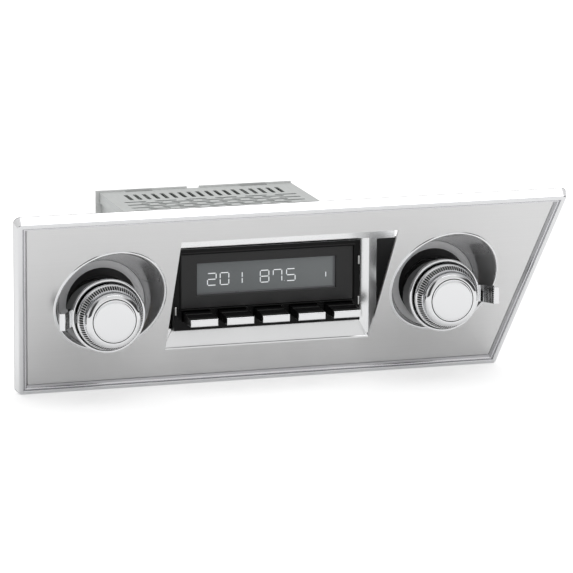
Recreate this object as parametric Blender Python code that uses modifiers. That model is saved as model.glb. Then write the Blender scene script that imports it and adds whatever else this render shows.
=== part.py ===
"""Car radio behind a leaning chrome dashboard bezel.

The radio points forward along -Y. Its pieces are laid out in a front view, with x to the
right, y up and z forward, measured from the middle of the nosepiece's front face. The bezel
leans out over the radio, so its own pieces are laid out flat on the leaning bezel plane.
"""
import math

import bmesh
import bpy
from mathutils import Matrix, Vector

MM = 0.001
GAP = 0.3 * MM                      # clearance between pieces that seat on each other

# Nosepiece
NOSE_WIDTH = 106.0 * MM
NOSE_HEIGHT = 45.0 * MM
NOSE_DEPTH = 22.0 * MM
NOSE_WALL = 2.0 * MM
NOSE_FRONT_WALL = 2.5 * MM
NOSE_SHOULDER = 4.0 * MM            # how far the shoulder stands out round the nosepiece
NOSE_SHOULDER_THICK = 2.0 * MM

# Display, seen through the nosepiece
LENS_SIDE_BORDER = 4.0 * MM         # black frame beside the lens
LENS_TOP_BORDER = 3.0 * MM
LENS_SILL = 1.0 * MM                # wall between the lens opening and the button slots
LENS_SINK = 0.5 * MM                # lens face below the nosepiece's face
LENS_THICK = 1.8 * MM
LCD_SIDE_BORDER = 5.0 * MM          # lens past the display glass
LCD_END_BORDER = 4.0 * MM
LCD_THICK = 2.2 * MM
LIGHT_GUIDE_THICK = 3.0 * MM
BOARD_THICK = 1.6 * MM

# Preset buttons
BUTTON_COUNT = 5
BUTTON_SIDE = 4.7 * MM              # from the nosepiece's side to the first button
BUTTON_SPACE = 4.9 * MM             # between neighbouring buttons
BUTTON_HEIGHT = 5.0 * MM
BUTTON_RISE = 7.9 * MM              # from the nosepiece's underside to the buttons' middle
BUTTON_REACH = 14.9 * MM            # in front of the nosepiece
BUTTON_TRAVEL = 2.8 * MM
BUTTON_FLANGE = 1.1 * MM            # stop flange round the button, behind the front wall
BUTTON_FLANGE_THICK = 1.2 * MM
BAR_THICK = 2.0 * MM
BAR_HEIGHT = 3.9 * MM
BAR_LOWER = 0.4 * MM                # middle of the bar below the middle of its button
BUTTON_EDGE = 0.5 * MM
KEYPAD_BASE = 0.6 * MM
DOME_RADIUS = 2.4 * MM
DOME_HEIGHT = 0.9 * MM

# Bezel, laid out on its leaning plane; heights are measured from the foot of the
# perpendicular through the middle of the nosepiece
LEAN = math.radians(32.0)
RIM_STANDOFF = 19.8 * MM            # rim plane in front of the middle of the nosepiece
WINDOW_RISE = 53.4 * MM
WINDOW_DROP = 27.4 * MM
WINDOW_TOP_WIDTH = 121.4 * MM
WINDOW_BOTTOM_WIDTH = 116.4 * MM
TOP_BAND = 20.6 * MM                # from the window up to the rim's outer edge
BOTTOM_BAND = 25.6 * MM
SIDE_BAND = 42.2 * MM               # from a knob's axis out to the bottom corner
SIDE_SPLAY = 0.12                   # outward slope of the bezel's ends
FLANGE_DRAFT = 1.4 * MM
FOOT_DRAFT = 3.2 * MM               # the lower flange lies level, so its draft is larger
CORNER_RADIUS = 2.0 * MM
CORNER_STEPS = 3
EDGE_ROUND = 0.7 * MM
LIP_WIDTH = 2.8 * MM
STEP_WIDTH = 2.2 * MM
GROOVE_DEPTH = 0.8 * MM
FACE_RECESS = 2.3 * MM
FACE_THICK = 1.5 * MM
LEDGE_WIDTH = 6.0 * MM
LEDGE_THICK = 1.7 * MM

# Dishes round the knobs
AXIS_DROP = 6.8 * MM                # knob axes below the middle of the nosepiece
DISH_RISE = 3.0 * MM                # a dish's middle above its knob's axis
DISH_INSET = 0.8 * MM               # and nearer the nosepiece
DISH_FLOOR = 3.0 * MM               # front of the dish floor, forward of the nosepiece's face
DISH_FLOOR_RADIUS = 24.1 * MM
DISH_FLARE = 0.295                  # growth of the dish's radius per unit of depth
DISH_WALL = 1.2 * MM
DISH_FLOOR_THICK = 1.5 * MM
DISH_HOLE_RADIUS = 19.7 * MM
DISH_LIP_WIDTH = 0.8 * MM
DISH_LIP_PROUD = 0.8 * MM
FACE_WEB = 2.52 * MM                # strip of face between the window and a dish's lip
BOSS_RADIUS = 3.5 * MM
BOSS_ANGLE = math.radians(35.0)

# Trim plate round the nosepiece
TRIM_FRONT = -2.5 * MM
TRIM_THICK = 1.5 * MM
TRIM_BEVEL_WIDTH = 5.6 * MM
TRIM_BEVEL_DEPTH = 2.4 * MM
TRIM_MARGIN = 4.4 * MM              # flat border outside the bevel
TRIM_HEAD_ROOM = 9.5 * MM           # from the nosepiece's top to the plate's top
TRIM_EAR = 10.5 * MM
TRIM_EAR_DROP = 0.4 * MM            # underside of the ears below the nosepiece's top

# Knobs and the rings behind them
RING_RADIUS = 20.4 * MM
RING_FRONT = 21.6 * MM
RING_THICK = 3.1 * MM
RING_HOLE_RADIUS = 15.0 * MM
SKIRT_RADIUS = 19.2 * MM
SKIRT_BACK = 3.8 * MM
SKIRT_WALL = 1.5 * MM
SKIRT_FRONT_THICK = 3.0 * MM
TAB_CLEAR = 0.5 * MM                # between a tab and the dish wall
TAB_WIDTH = 9.3 * MM
TAB_TIP = 3.0 * MM                  # width of the tab's end, seen from the front
TAB_TIP_THICK = 2.2 * MM
TAB_FRONT = 29.2 * MM
TAB_ARM_THICK = 2.4 * MM
KNOB_RADIUS = 17.9 * MM
KNOB_BACK = 22.8 * MM
KNOB_BAND = 4.4 * MM                # height of the coin-edged band
KNOB_SHOULDER_RADIUS = 16.0 * MM
KNOB_FRONT = 34.3 * MM
KNOB_TRAVEL = 0.8 * MM
CAP_RADIUS = 11.7 * MM
CAP_SINK = 1.0 * MM
CAP_CROWN = 1.4 * MM
ROUND_STEPS = 40

# Controls behind the bezel
SHAFT_RADIUS = 3.0 * MM
SLEEVE_WALL = 0.7 * MM
BUSHING_WALL = 0.7 * MM
BUSHING_FRONT = -2.0 * MM
BUSHING_FLANGE_RADIUS = 9.0 * MM
BUSHING_FLANGE_THICK = 1.2 * MM
NUT_ACROSS_FLATS = 14.0 * MM
NUT_THICK = 3.0 * MM
CONTROL_SIZE = 28.0 * MM
CONTROL_DEPTH = 22.0 * MM
SHAFT_INSIDE = 5.0 * MM             # length of shaft held in the control body
SMALL_STEPS = 20

# Brackets
BRACKET_FRONT = -11.7 * MM
BRACKET_THICK = 1.5 * MM
BRACKET_RISE = 27.4 * MM            # above the knob axis
BRACKET_DROP = 20.0 * MM            # below the knob axis
BRACKET_OVERHANG = 31.0 * MM        # past the knob axis
BRACKET_LEG = 47.0 * MM
SCREW_RADIUS = 1.5 * MM
SCREW_GRIP = 6.0 * MM               # thread length inside a dish boss
SCREW_HEAD_RADIUS = 2.8 * MM
SCREW_HEAD_THICK = 2.0 * MM

# Chassis
CHASSIS_SIDE = 3.5 * MM             # chassis past each side of the nosepiece
CHASSIS_TOP = 27.0 * MM
CHASSIS_BOTTOM = -26.0 * MM
CHASSIS_DEPTH = 125.0 * MM
SHEET = 1.0 * MM
LID_FLANGE = 5.0 * MM
LID_TAB_WIDTH = 16.0 * MM
LID_TAB_DEPTH = 2.5 * MM
LID_TAB_OFFSET = 34.5 * MM
SLOT_COUNT = 18
SLOT_PITCH = 5.3 * MM
SLOT_WIDTH = 2.4 * MM
SLOT_LENGTH = 16.2 * MM
SLOT_FROM_REAR = 10.3 * MM          # from the lid's rear edge to the slots' rear ends
BRICK_ROWS = 9
BRICKS_PER_ROW = 6                  # one fewer in every second row, which is staggered
BRICK_PITCH = 17.9 * MM
BRICK_LENGTH = 13.3 * MM
BRICK_WIDTH = 2.6 * MM
BRICK_ROW_PITCH = 4.15 * MM
BRICK_FROM_SLOTS = 5.6 * MM
REAR_THICK = 1.2 * MM
REAR_RISE = 1.0 * MM                # rear panel's top above the lid
REAR_PAST_LEFT = 2.0 * MM           # rear panel past the lid's left side
REAR_NOTCH_X = -1.7 * MM
REAR_NOTCH_WIDTH = 7.2 * MM
REAR_NOTCH_DEPTH = 1.6 * MM
FRONT_OPENING_BORDER = 8.0 * MM

# Inside the chassis
STANDOFF_HEIGHT = 5.7 * MM
STANDOFF_RADIUS = 3.0 * MM
STANDOFF_INSET = 7.0 * MM
BOARD_MARGIN = 3.5 * MM
TUNER_SIZE = (34.0 * MM, 14.0 * MM, 44.0 * MM)
HEAT_SINK_SIZE = (8.0 * MM, 30.0 * MM, 60.0 * MM)
HEAT_SINK_FINS = 5
HEAT_SINK_FIN = 2.4 * MM
HEAT_SINK_BASE = 3.0 * MM
AMPLIFIER_SIZE = (4.6 * MM, 16.0 * MM, 26.0 * MM)
CAPACITOR_RADIUS = 8.0 * MM
CAPACITOR_HEIGHT = 25.0 * MM

# Sockets on the rear panel
SOCKET_REACH = 9.0 * MM             # how far the rear sockets stand out of the rear panel
ANTENNA_INSET = 15.8 * MM           # from the panel's left edge to the antenna socket's axis
ANTENNA_RADIUS = 6.5 * MM
ANTENNA_BORE = 4.2 * MM
JACK_X = -8.0 * MM
JACK_RADIUS = 4.1 * MM
JACK_PITCH = 14.0 * MM
JACK_PIN_BORE = 1.7 * MM
JACK_BLOCK_DEPTH = 10.0 * MM
POWER_INSET = 26.8 * MM             # from the panel's right edge to the power socket's middle
POWER_SIZE = (30.0 * MM, 14.0 * MM)
POWER_WALL = 1.8 * MM
POWER_DEPTH = 16.0 * MM
SOCKET_RISE = 3.0 * MM              # sockets above the middle of the nosepiece

# Places worked out from the sizes above
BEZEL_DEPTH = FACE_RECESS + FACE_THICK + GAP + LEDGE_THICK
BEZEL_TOP = WINDOW_RISE + TOP_BAND
BEZEL_BOTTOM = -(WINDOW_DROP + BOTTOM_BAND)
FACE_FRONT = RIM_STANDOFF - FACE_RECESS      # along the bezel's normal
FACE_BACK = FACE_FRONT - FACE_THICK


def forward_on_plane(distance, height):
    """How far forward a plane parallel to the bezel lies at a height above the nose's middle."""
    return (distance + math.sin(LEAN) * height) / math.cos(LEAN)


DISH_LIP_REACH = DISH_WALL + DISH_LIP_WIDTH
DISH_SIDE = forward_on_plane(FACE_FRONT, DISH_RISE - AXIS_DROP)
DISH_SIDE_RADIUS = DISH_FLOOR_RADIUS + DISH_FLARE * (DISH_SIDE - DISH_FLOOR)
DISH_HALF_WIDTH = DISH_SIDE_RADIUS / math.sqrt(1 - (DISH_FLARE * math.tan(LEAN)) ** 2)
AXIS_X = WINDOW_TOP_WIDTH / 2 + FACE_WEB + DISH_LIP_REACH + DISH_HALF_WIDTH + DISH_INSET
BEZEL_BOTTOM_HALF = AXIS_X + SIDE_BAND

BUTTON_WIDTH = (NOSE_WIDTH - 2 * BUTTON_SIDE - (BUTTON_COUNT - 1) * BUTTON_SPACE) / BUTTON_COUNT
BUTTON_PITCH = BUTTON_WIDTH + BUTTON_SPACE
BUTTON_DROP = NOSE_HEIGHT / 2 - BUTTON_RISE
LENS_WIDTH = NOSE_WIDTH - 2 * LENS_SIDE_BORDER
LENS_TOP = NOSE_HEIGHT / 2 - LENS_TOP_BORDER
LENS_BOTTOM = -BUTTON_DROP + BUTTON_HEIGHT / 2 + LENS_SILL + 2 * GAP
LENS_HEIGHT = LENS_TOP - LENS_BOTTOM
LENS_MIDDLE = (LENS_TOP + LENS_BOTTOM) / 2
LCD_WIDTH = LENS_WIDTH - 2 * LCD_SIDE_BORDER
LCD_HEIGHT = LENS_HEIGHT - 2 * LCD_END_BORDER
LCD_FRONT = -LENS_SINK - LENS_THICK - GAP
LIGHT_GUIDE_FRONT = LCD_FRONT - LCD_THICK - GAP
FRONT_BOARD_FRONT = LIGHT_GUIDE_FRONT - LIGHT_GUIDE_THICK - GAP
FLANGE_FRONT = -NOSE_FRONT_WALL - GAP
BUTTON_BACK = FLANGE_FRONT - BUTTON_FLANGE_THICK
KEYPAD_FRONT = BUTTON_BACK - BUTTON_TRAVEL - GAP

CHASSIS_WIDTH = NOSE_WIDTH + 2 * CHASSIS_SIDE
CHASSIS_FRONT = -NOSE_DEPTH - GAP
CHASSIS_REAR = CHASSIS_FRONT - CHASSIS_DEPTH
LID_REAR = CHASSIS_REAR + REAR_THICK + GAP
LID_UNDER = CHASSIS_TOP - SHEET
LID_HALF = CHASSIS_WIDTH / 2 + GAP + SHEET
ANTENNA_X = -LID_HALF + ANTENNA_INSET
POWER_X = LID_HALF - POWER_INSET
TRAY_FLOOR = CHASSIS_BOTTOM + SHEET
BOARD_UNDER = TRAY_FLOOR + STANDOFF_HEIGHT + GAP
BOARD_TOP = BOARD_UNDER + BOARD_THICK
BRACKET_BACK = BRACKET_FRONT - BRACKET_THICK
SLEEVE_BORE = SHAFT_RADIUS + GAP
SLEEVE_RADIUS = SLEEVE_BORE + SLEEVE_WALL
BUSHING_BORE = SLEEVE_RADIUS + GAP
BUSHING_RADIUS = BUSHING_BORE + BUSHING_WALL
BUSHING_BACK = BRACKET_BACK - GAP - BUSHING_FLANGE_THICK
CONTROL_FRONT = BUSHING_BACK - GAP
CONTROL_BACK = CONTROL_FRONT - CONTROL_DEPTH
SHAFT_BACK = CONTROL_FRONT - SHAFT_INSIDE
BOSS_CIRCLE = DISH_FLOOR_RADIUS + DISH_WALL + BOSS_RADIUS / 2

# Scene and collections
for old in list(bpy.data.objects):
    bpy.data.objects.remove(old, do_unlink=True)
parts = bpy.data.collections.new("car_radio")
cutters = bpy.data.collections.new("cutters")
bpy.context.scene.collection.children.link(parts)
bpy.context.scene.collection.children.link(cutters)


def finish(name, colour, roughness, metallic):
    """A plain material with the piece's colour, roughness and metallic value."""
    material = bpy.data.materials.new(name)
    material.use_nodes = True
    shader = material.node_tree.nodes["Principled BSDF"]
    shader.inputs["Base Color"].default_value = (*colour, 1.0)
    shader.inputs["Roughness"].default_value = roughness
    shader.inputs["Metallic"].default_value = metallic
    return material


CHROME = finish("chrome", (0.80, 0.80, 0.81), 0.06, 1.0)
SATIN = finish("satin_aluminium", (0.62, 0.62, 0.62), 0.38, 1.0)
ZINC = finish("galvanised_sheet", (0.68, 0.69, 0.69), 0.42, 1.0)
STEEL = finish("bright_steel", (0.58, 0.58, 0.57), 0.30, 1.0)
BLACK_STEEL = finish("black_steel", (0.02, 0.02, 0.02), 0.45, 0.0)
BLACK_PLASTIC = finish("black_plastic", (0.012, 0.012, 0.013), 0.28, 0.0)
SMOKED = finish("smoked_lens", (0.03, 0.03, 0.032), 0.12, 0.0)
GLASS = finish("display_glass", (0.16, 0.17, 0.18), 0.15, 0.0)
MILKY = finish("light_guide", (0.80, 0.82, 0.80), 0.35, 0.0)
BOARD = finish("circuit_board", (0.02, 0.16, 0.07), 0.40, 0.0)
RUBBER = finish("keypad_rubber", (0.30, 0.30, 0.29), 0.80, 0.0)
BRASS = finish("brass", (0.70, 0.52, 0.22), 0.25, 1.0)
ALLOY = finish("black_alloy", (0.03, 0.03, 0.03), 0.50, 0.0)
BLUE = finish("capacitor_sleeve", (0.03, 0.05, 0.16), 0.35, 0.0)


def axes(name, parent, location, turn=0.0):
    """An empty that a group of pieces hangs from; turn is about its own x axis."""
    empty = bpy.data.objects.new(name, None)
    empty.parent = parent
    empty.location = location
    empty.rotation_euler = (turn, 0.0, 0.0)
    parts.objects.link(empty)
    return empty


def add(name, mesh, parent, material):
    """Hang a mesh from its axes as a piece, or as a hidden cutter where it has no material."""
    piece = bpy.data.objects.new(name, mesh)
    piece.parent = parent
    if material:
        mesh.materials.append(material)
        parts.objects.link(piece)
    else:
        piece.hide_render = True
        piece.display_type = "WIRE"
        cutters.objects.link(piece)
    return piece


def to_mesh(name, shape):
    mesh = bpy.data.meshes.new(name)
    bmesh.ops.recalc_face_normals(shape, faces=shape.faces)
    shape.to_mesh(mesh)
    shape.free()
    return mesh


def box(name, low, high, parent, material=None, edge=0.0):
    """A block between two corners, with its outer edges rounded off by edge."""
    low, high = Vector(low), Vector(high)
    shape = bmesh.new()
    bmesh.ops.create_cube(shape, size=1.0)
    size = high - low
    middle = (low + high) / 2
    bmesh.ops.transform(shape, matrix=Matrix.Translation(middle) @ Matrix.Diagonal((*size, 1.0)),
                        verts=shape.verts)
    piece = add(name, to_mesh(name, shape), parent, material)
    if edge:
        bevel = piece.modifiers.new("edges", "BEVEL")
        bevel.width = edge
        bevel.segments = 2
    return piece


def prism(name, outline, low, high, parent, material=None):
    """An outline in x and y, drawn out from z low to z high."""
    shape = bmesh.new()
    face = shape.faces.new([shape.verts.new((x, y, low)) for x, y in outline])
    grown = bmesh.ops.extrude_face_region(shape, geom=[face])
    moved = [item for item in grown["geom"] if isinstance(item, bmesh.types.BMVert)]
    bmesh.ops.translate(shape, verts=moved, vec=(0.0, 0.0, high - low))
    return add(name, to_mesh(name, shape), parent, material)


def cylinder(name, radius, low, high, parent, material=None, centre=(0.0, 0.0), steps=SMALL_STEPS):
    """A round bar along z from low to high."""
    shape = bmesh.new()
    place = Matrix.Translation((centre[0], centre[1], (low + high) / 2))
    bmesh.ops.create_cone(shape, cap_ends=True, segments=steps, radius1=radius, radius2=radius,
                          depth=high - low, matrix=place)
    piece = add(name, to_mesh(name, shape), parent, material)
    round_off(piece)
    return piece


def turned(name, profile, parent, material=None, steps=ROUND_STEPS):
    """A turned piece. The profile is (radius, z) points that run down the outer side.

    A profile that starts and ends on the axis is a solid piece, and any other is a ring.
    """
    count = len(profile)
    edges = [(i, i + 1) for i in range(count - 1)]
    if profile[0][0] > 0.0:
        edges.append((count - 1, 0))
    mesh = bpy.data.meshes.new(name)
    mesh.from_pydata([(radius, 0.0, z) for radius, z in profile], edges, [])
    piece = add(name, mesh, parent, material)
    screw = piece.modifiers.new("turn", "SCREW")
    screw.axis = "Z"
    screw.steps = steps
    screw.render_steps = steps
    screw.use_merge_vertices = True
    screw.merge_threshold = 0.00001
    screw.use_smooth_shade = True
    return piece


def round_off(piece):
    piece.data.shade_smooth()
    piece.data.set_sharp_from_angle(angle=math.radians(35.0))


def combine(piece, other, operation="DIFFERENCE"):
    step = piece.modifiers.new(other.name, "BOOLEAN")
    step.operation = operation
    step.object = other


def rounded(corners, radius, steps):
    """Corner points with each corner replaced by an arc; corners run anticlockwise."""
    points = []
    count = len(corners)
    for i, corner in enumerate(corners):
        here = Vector(corner)
        back = (Vector(corners[i - 1]) - here).normalized()
        ahead = (Vector(corners[(i + 1) % count]) - here).normalized()
        half = back.angle(ahead) / 2
        centre = here + (back + ahead).normalized() * radius / math.sin(half)
        start = here + back * radius / math.tan(half) - centre
        sweep = math.pi - 2 * half
        for k in range(steps + 1):
            points.append(tuple(centre + Matrix.Rotation(sweep * k / steps, 2) @ start))
    return points


def trapezoid(top, bottom, top_half, bottom_half, inset, foot):
    """Corners of a symmetric trapezoid, its sides and top moved in by inset, its bottom by foot."""
    slope = (top_half - bottom_half) / (top - bottom)
    side = inset * math.sqrt(1 + slope * slope)
    high, low = top - inset, bottom + foot
    high_half = bottom_half + slope * (high - bottom) - side
    low_half = bottom_half + slope * (low - bottom) - side
    return [(-low_half, low), (low_half, low), (high_half, high), (-high_half, high)]


def bezel_outline(inset, foot):
    top_half = BEZEL_BOTTOM_HALF + SIDE_SPLAY * (BEZEL_TOP - BEZEL_BOTTOM)
    corners = trapezoid(BEZEL_TOP, BEZEL_BOTTOM, top_half, BEZEL_BOTTOM_HALF, inset, foot)
    return rounded(corners, max(CORNER_RADIUS - inset, EDGE_ROUND), CORNER_STEPS)


# Rim section of the bezel as (inset, depth behind the rim plane), from the front edge over the
# step down to the ledge that carries the face plate; the flange's back edge comes before it
FACE_INSET = LIP_WIDTH + STEP_WIDTH
RIM_FRONT = [(EDGE_ROUND * (1 - math.cos(turn)), EDGE_ROUND * (1 - math.sin(turn)))
             for turn in (0.0, math.pi / 4, math.pi / 2)]
RIM_FRONT += [(LIP_WIDTH, 0.0),
              (LIP_WIDTH + STEP_WIDTH * 0.2, GROOVE_DEPTH),
              (LIP_WIDTH + STEP_WIDTH * 0.5, GROOVE_DEPTH),
              (FACE_INSET, FACE_RECESS),
              (FACE_INSET, BEZEL_DEPTH - LEDGE_THICK),
              (FACE_INSET + LEDGE_WIDTH, BEZEL_DEPTH - LEDGE_THICK),
              (FACE_INSET + LEDGE_WIDTH, BEZEL_DEPTH)]
RIM_SECTION = [(-FLANGE_DRAFT, -FOOT_DRAFT, BEZEL_DEPTH)]
RIM_SECTION += [(inset, inset, depth) for inset, depth in RIM_FRONT]


def rim_place(inset, foot, depth):
    """Height and forward place of the rim's lower edge, then of its upper edge."""
    normal = RIM_STANDOFF - depth
    for edge in (BEZEL_BOTTOM + foot, BEZEL_TOP - inset):
        yield (edge * math.cos(LEAN) - normal * math.sin(LEAN),
               edge * math.sin(LEAN) + normal * math.cos(LEAN))


# The object stands with its lowest edge at height zero, centred front to back
rim_places = [place for point in RIM_SECTION for place in rim_place(*point)]
LOWEST = min(height for height, forward in rim_places)
FOREMOST = max(forward for height, forward in rim_places)
REARMOST = CHASSIS_REAR - SOCKET_REACH
radio = axes("radio_axes", None, (0.0, (FOREMOST + REARMOST) / 2, -LOWEST), math.pi / 2)
bezel = axes("bezel_axes", radio,
             (0.0, -RIM_STANDOFF * math.sin(LEAN), RIM_STANDOFF * math.cos(LEAN)), LEAN)


def build_bezel_frame():
    """Die-cast chromed rim: the rim section carried round the bezel with mitred corners."""
    shape = bmesh.new()
    loops = []
    for inset, foot, depth in RIM_SECTION:
        loops.append([shape.verts.new((x, y, -depth)) for x, y in bezel_outline(inset, foot)])
    for one, two in zip(loops, loops[1:] + loops[:1]):
        for i in range(len(one)):
            shape.faces.new((one[i - 1], one[i], two[i], two[i - 1]))
    add("bezel_frame", to_mesh("bezel_frame", shape), bezel, CHROME)


def dish_radius(forward):
    return DISH_FLOOR_RADIUS + DISH_FLARE * (forward - DISH_FLOOR)


DISH_REACH = forward_on_plane(RIM_STANDOFF, BEZEL_TOP)     # longer than any dish before it is cut
KNOB_AXES = {side: axes(side + "_knob_axis", radio, (sign * AXIS_X, -AXIS_DROP, 0.0))
             for side, sign in (("left", -1), ("right", 1))}
DISH_AXES = {side: axes(side + "_dish_axis", KNOB_AXES[side], (-sign * DISH_INSET, DISH_RISE, 0.0))
             for side, sign in (("left", -1), ("right", 1))}


def in_front_of(name, distance):
    """A cutter that takes everything in front of a plane parallel to the bezel."""
    low = distance - RIM_STANDOFF
    reach = 2 * BEZEL_BOTTOM_HALF
    return box(name, (-reach, -reach, low), (reach, reach, low + reach), bezel)


def cone_wall(name, inner, outer, back, parent, material=None):
    """A flared ring that follows the dish wall, from inner to outer outside the dish."""
    return turned(name, [(dish_radius(DISH_REACH) + outer, DISH_REACH),
                         (dish_radius(DISH_FLOOR) + outer, DISH_FLOOR),
                         (dish_radius(DISH_FLOOR) + outer, back),
                         (dish_radius(DISH_FLOOR) + inner, back),
                         (dish_radius(DISH_FLOOR) + inner, DISH_FLOOR),
                         (dish_radius(DISH_REACH) + inner, DISH_REACH)], parent, material)


def boss_places(side):
    """Centres of a dish's two screw bosses, in the dish's own axes."""
    sign = 1 if side == "right" else -1
    for turn in (BOSS_ANGLE, BOSS_ANGLE + math.pi):
        yield sign * BOSS_CIRCLE * math.cos(turn), BOSS_CIRCLE * math.sin(turn)


def build_face_plate():
    """Satin aluminium sheet in the frame, with the window and the two dish holes."""
    inset = FACE_INSET + GAP
    face = prism("face_plate", bezel_outline(inset, inset), -FACE_RECESS - FACE_THICK,
                 -FACE_RECESS, bezel, SATIN)
    corners = trapezoid(WINDOW_RISE, -WINDOW_DROP, WINDOW_TOP_WIDTH / 2, WINDOW_BOTTOM_WIDTH / 2, 0, 0)
    combine(face, prism("window_cut", corners, -BEZEL_DEPTH, BEZEL_DEPTH, bezel))
    for side, axis in DISH_AXES.items():
        reach = DISH_REACH
        outer = DISH_WALL + GAP
        hole = turned(side + "_dish_hole",
                      [(0.0, reach), (dish_radius(reach) + outer, reach),
                       (dish_radius(DISH_FLOOR) + outer, DISH_FLOOR),
                       (dish_radius(DISH_FLOOR) + outer, -reach), (0.0, -reach)], axis)
        combine(face, hole)


def build_dish(side):
    """Chromed cup round a knob, a little above it and cut off by the leaning face."""
    axis = DISH_AXES[side]
    floor_back = DISH_FLOOR - DISH_FLOOR_THICK
    lip = DISH_LIP_REACH
    dish = turned(side + "_dish", [(dish_radius(DISH_REACH) + lip, DISH_REACH),
                                   (dish_radius(DISH_FLOOR) + lip, DISH_FLOOR),
                                   (dish_radius(DISH_FLOOR) + lip, floor_back),
                                   (DISH_HOLE_RADIUS, floor_back),
                                   (DISH_HOLE_RADIUS, DISH_FLOOR),
                                   (dish_radius(DISH_FLOOR), DISH_FLOOR),
                                   (dish_radius(DISH_REACH), DISH_REACH)], axis, CHROME)
    relief = cone_wall(side + "_dish_relief", DISH_WALL, DISH_WALL + 2 * BOSS_RADIUS + lip,
                       floor_back - BEZEL_DEPTH, axis)
    combine(relief, in_front_of(side + "_relief_front", FACE_FRONT + GAP))
    combine(dish, relief)
    combine(dish, in_front_of(side + "_lip_front", FACE_FRONT + DISH_LIP_PROUD))
    for i, centre in enumerate(boss_places(side)):
        boss = cylinder(f"{side}_boss_{i}", BOSS_RADIUS, BRACKET_FRONT + GAP,
                        DISH_FLOOR, axis, centre=centre)
        combine(boss, turned(f"{side}_boss_clear_{i}",
                             [(0.0, DISH_REACH), (dish_radius(DISH_REACH), DISH_REACH),
                              (dish_radius(DISH_FLOOR) + GAP, DISH_FLOOR),
                              (dish_radius(DISH_FLOOR) + GAP, floor_back + GAP),
                              (0.0, floor_back + GAP)], axis))
        combine(boss, cylinder(f"{side}_boss_hole_{i}", DISH_HOLE_RADIUS, -DISH_REACH, DISH_REACH,
                               axis, steps=ROUND_STEPS))
        combine(dish, boss, "UNION")
        combine(dish, cylinder(f"{side}_boss_thread_{i}", SCREW_RADIUS + GAP,
                               BRACKET_FRONT - BRACKET_THICK, BRACKET_FRONT + SCREW_GRIP + GAP,
                               axis, centre=centre))


def build_trim_plate():
    """Chromed plate round the nosepiece, with bevelled sides, a sloped sill and two ears."""
    half = NOSE_WIDTH / 2 + GAP
    top = NOSE_HEIGHT / 2 + GAP
    side = half + TRIM_BEVEL_WIDTH + TRIM_MARGIN
    face_back = (math.cos(LEAN) * (TRIM_FRONT + GAP) - FACE_BACK) / math.sin(LEAN)
    bottom = face_back + 2 * GAP
    ear_under = NOSE_HEIGHT / 2 - TRIM_EAR_DROP
    ear_top = NOSE_HEIGHT / 2 + TRIM_HEAD_ROOM
    outline = [(-side, bottom), (side, bottom), (side, ear_under), (side + TRIM_EAR, ear_under),
               (side + TRIM_EAR, ear_top), (-side - TRIM_EAR, ear_top),
               (-side - TRIM_EAR, ear_under), (-side, ear_under)]
    plate = prism("trim_plate", outline, TRIM_FRONT - TRIM_THICK, TRIM_FRONT, radio, CHROME)
    wide = half + TRIM_BEVEL_WIDTH + TRIM_THICK
    collar = box("trim_collar", (-wide, bottom, TRIM_FRONT - TRIM_BEVEL_DEPTH - TRIM_THICK),
                 (wide, top + TRIM_BEVEL_WIDTH, TRIM_FRONT), radio)
    combine(plate, collar, "UNION")
    shape = bmesh.new()
    rings = []
    sill = -top - bottom - GAP
    for grow, z in ((2, TRIM_FRONT + TRIM_BEVEL_DEPTH), (0, TRIM_FRONT - TRIM_BEVEL_DEPTH),
                    (0, TRIM_FRONT - NOSE_DEPTH)):
        wide, low = half + grow * TRIM_BEVEL_WIDTH, -top - grow * sill
        rings.append([shape.verts.new((x, y, z))
                      for x, y in ((-wide, low), (wide, low), (wide, top), (-wide, top))])
    for one, two in zip(rings, rings[1:]):
        for i in range(4):
            shape.faces.new((one[i - 1], one[i], two[i], two[i - 1]))
    shape.faces.new(rings[0])
    shape.faces.new(rings[-1])
    combine(plate, add("trim_bevel", to_mesh("trim_bevel", shape), radio, None))


def button_x(index):
    return (index - (BUTTON_COUNT - 1) / 2) * BUTTON_PITCH


def build_nose():
    """Moulded nosepiece: an open-backed box with a shoulder, a lens opening and button slots."""
    half, tall = NOSE_WIDTH / 2, NOSE_HEIGHT / 2
    nose = box("nose_housing", (-half, -tall, -NOSE_DEPTH), (half, tall, 0.0), radio, BLACK_PLASTIC)
    shoulder_front = TRIM_FRONT - TRIM_BEVEL_DEPTH - TRIM_THICK - GAP
    shoulder = box("nose_shoulder",
                   (-half - NOSE_SHOULDER, -tall - NOSE_SHOULDER, shoulder_front - NOSE_SHOULDER_THICK),
                   (half + NOSE_SHOULDER, tall + NOSE_SHOULDER, shoulder_front), radio)
    combine(nose, shoulder, "UNION")
    combine(nose, box("nose_hollow", (-half + NOSE_WALL, -tall + NOSE_WALL, -2 * NOSE_DEPTH),
                      (half - NOSE_WALL, tall - NOSE_WALL, -NOSE_FRONT_WALL), radio))
    lens_half, lens_tall = LENS_WIDTH / 2 + GAP, LENS_HEIGHT / 2 + GAP
    combine(nose, box("lens_opening", (-lens_half, LENS_MIDDLE - lens_tall, -NOSE_DEPTH / 2),
                      (lens_half, LENS_MIDDLE + lens_tall, NOSE_DEPTH), radio))
    slot_half, slot_tall = BUTTON_WIDTH / 2 + GAP, BUTTON_HEIGHT / 2 + GAP
    for i in range(BUTTON_COUNT):
        x = button_x(i)
        combine(nose, box(f"button_slot_{i + 1}",
                          (x - slot_half, -BUTTON_DROP - slot_tall, -NOSE_DEPTH / 2),
                          (x + slot_half, -BUTTON_DROP + slot_tall, NOSE_DEPTH), radio))


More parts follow.
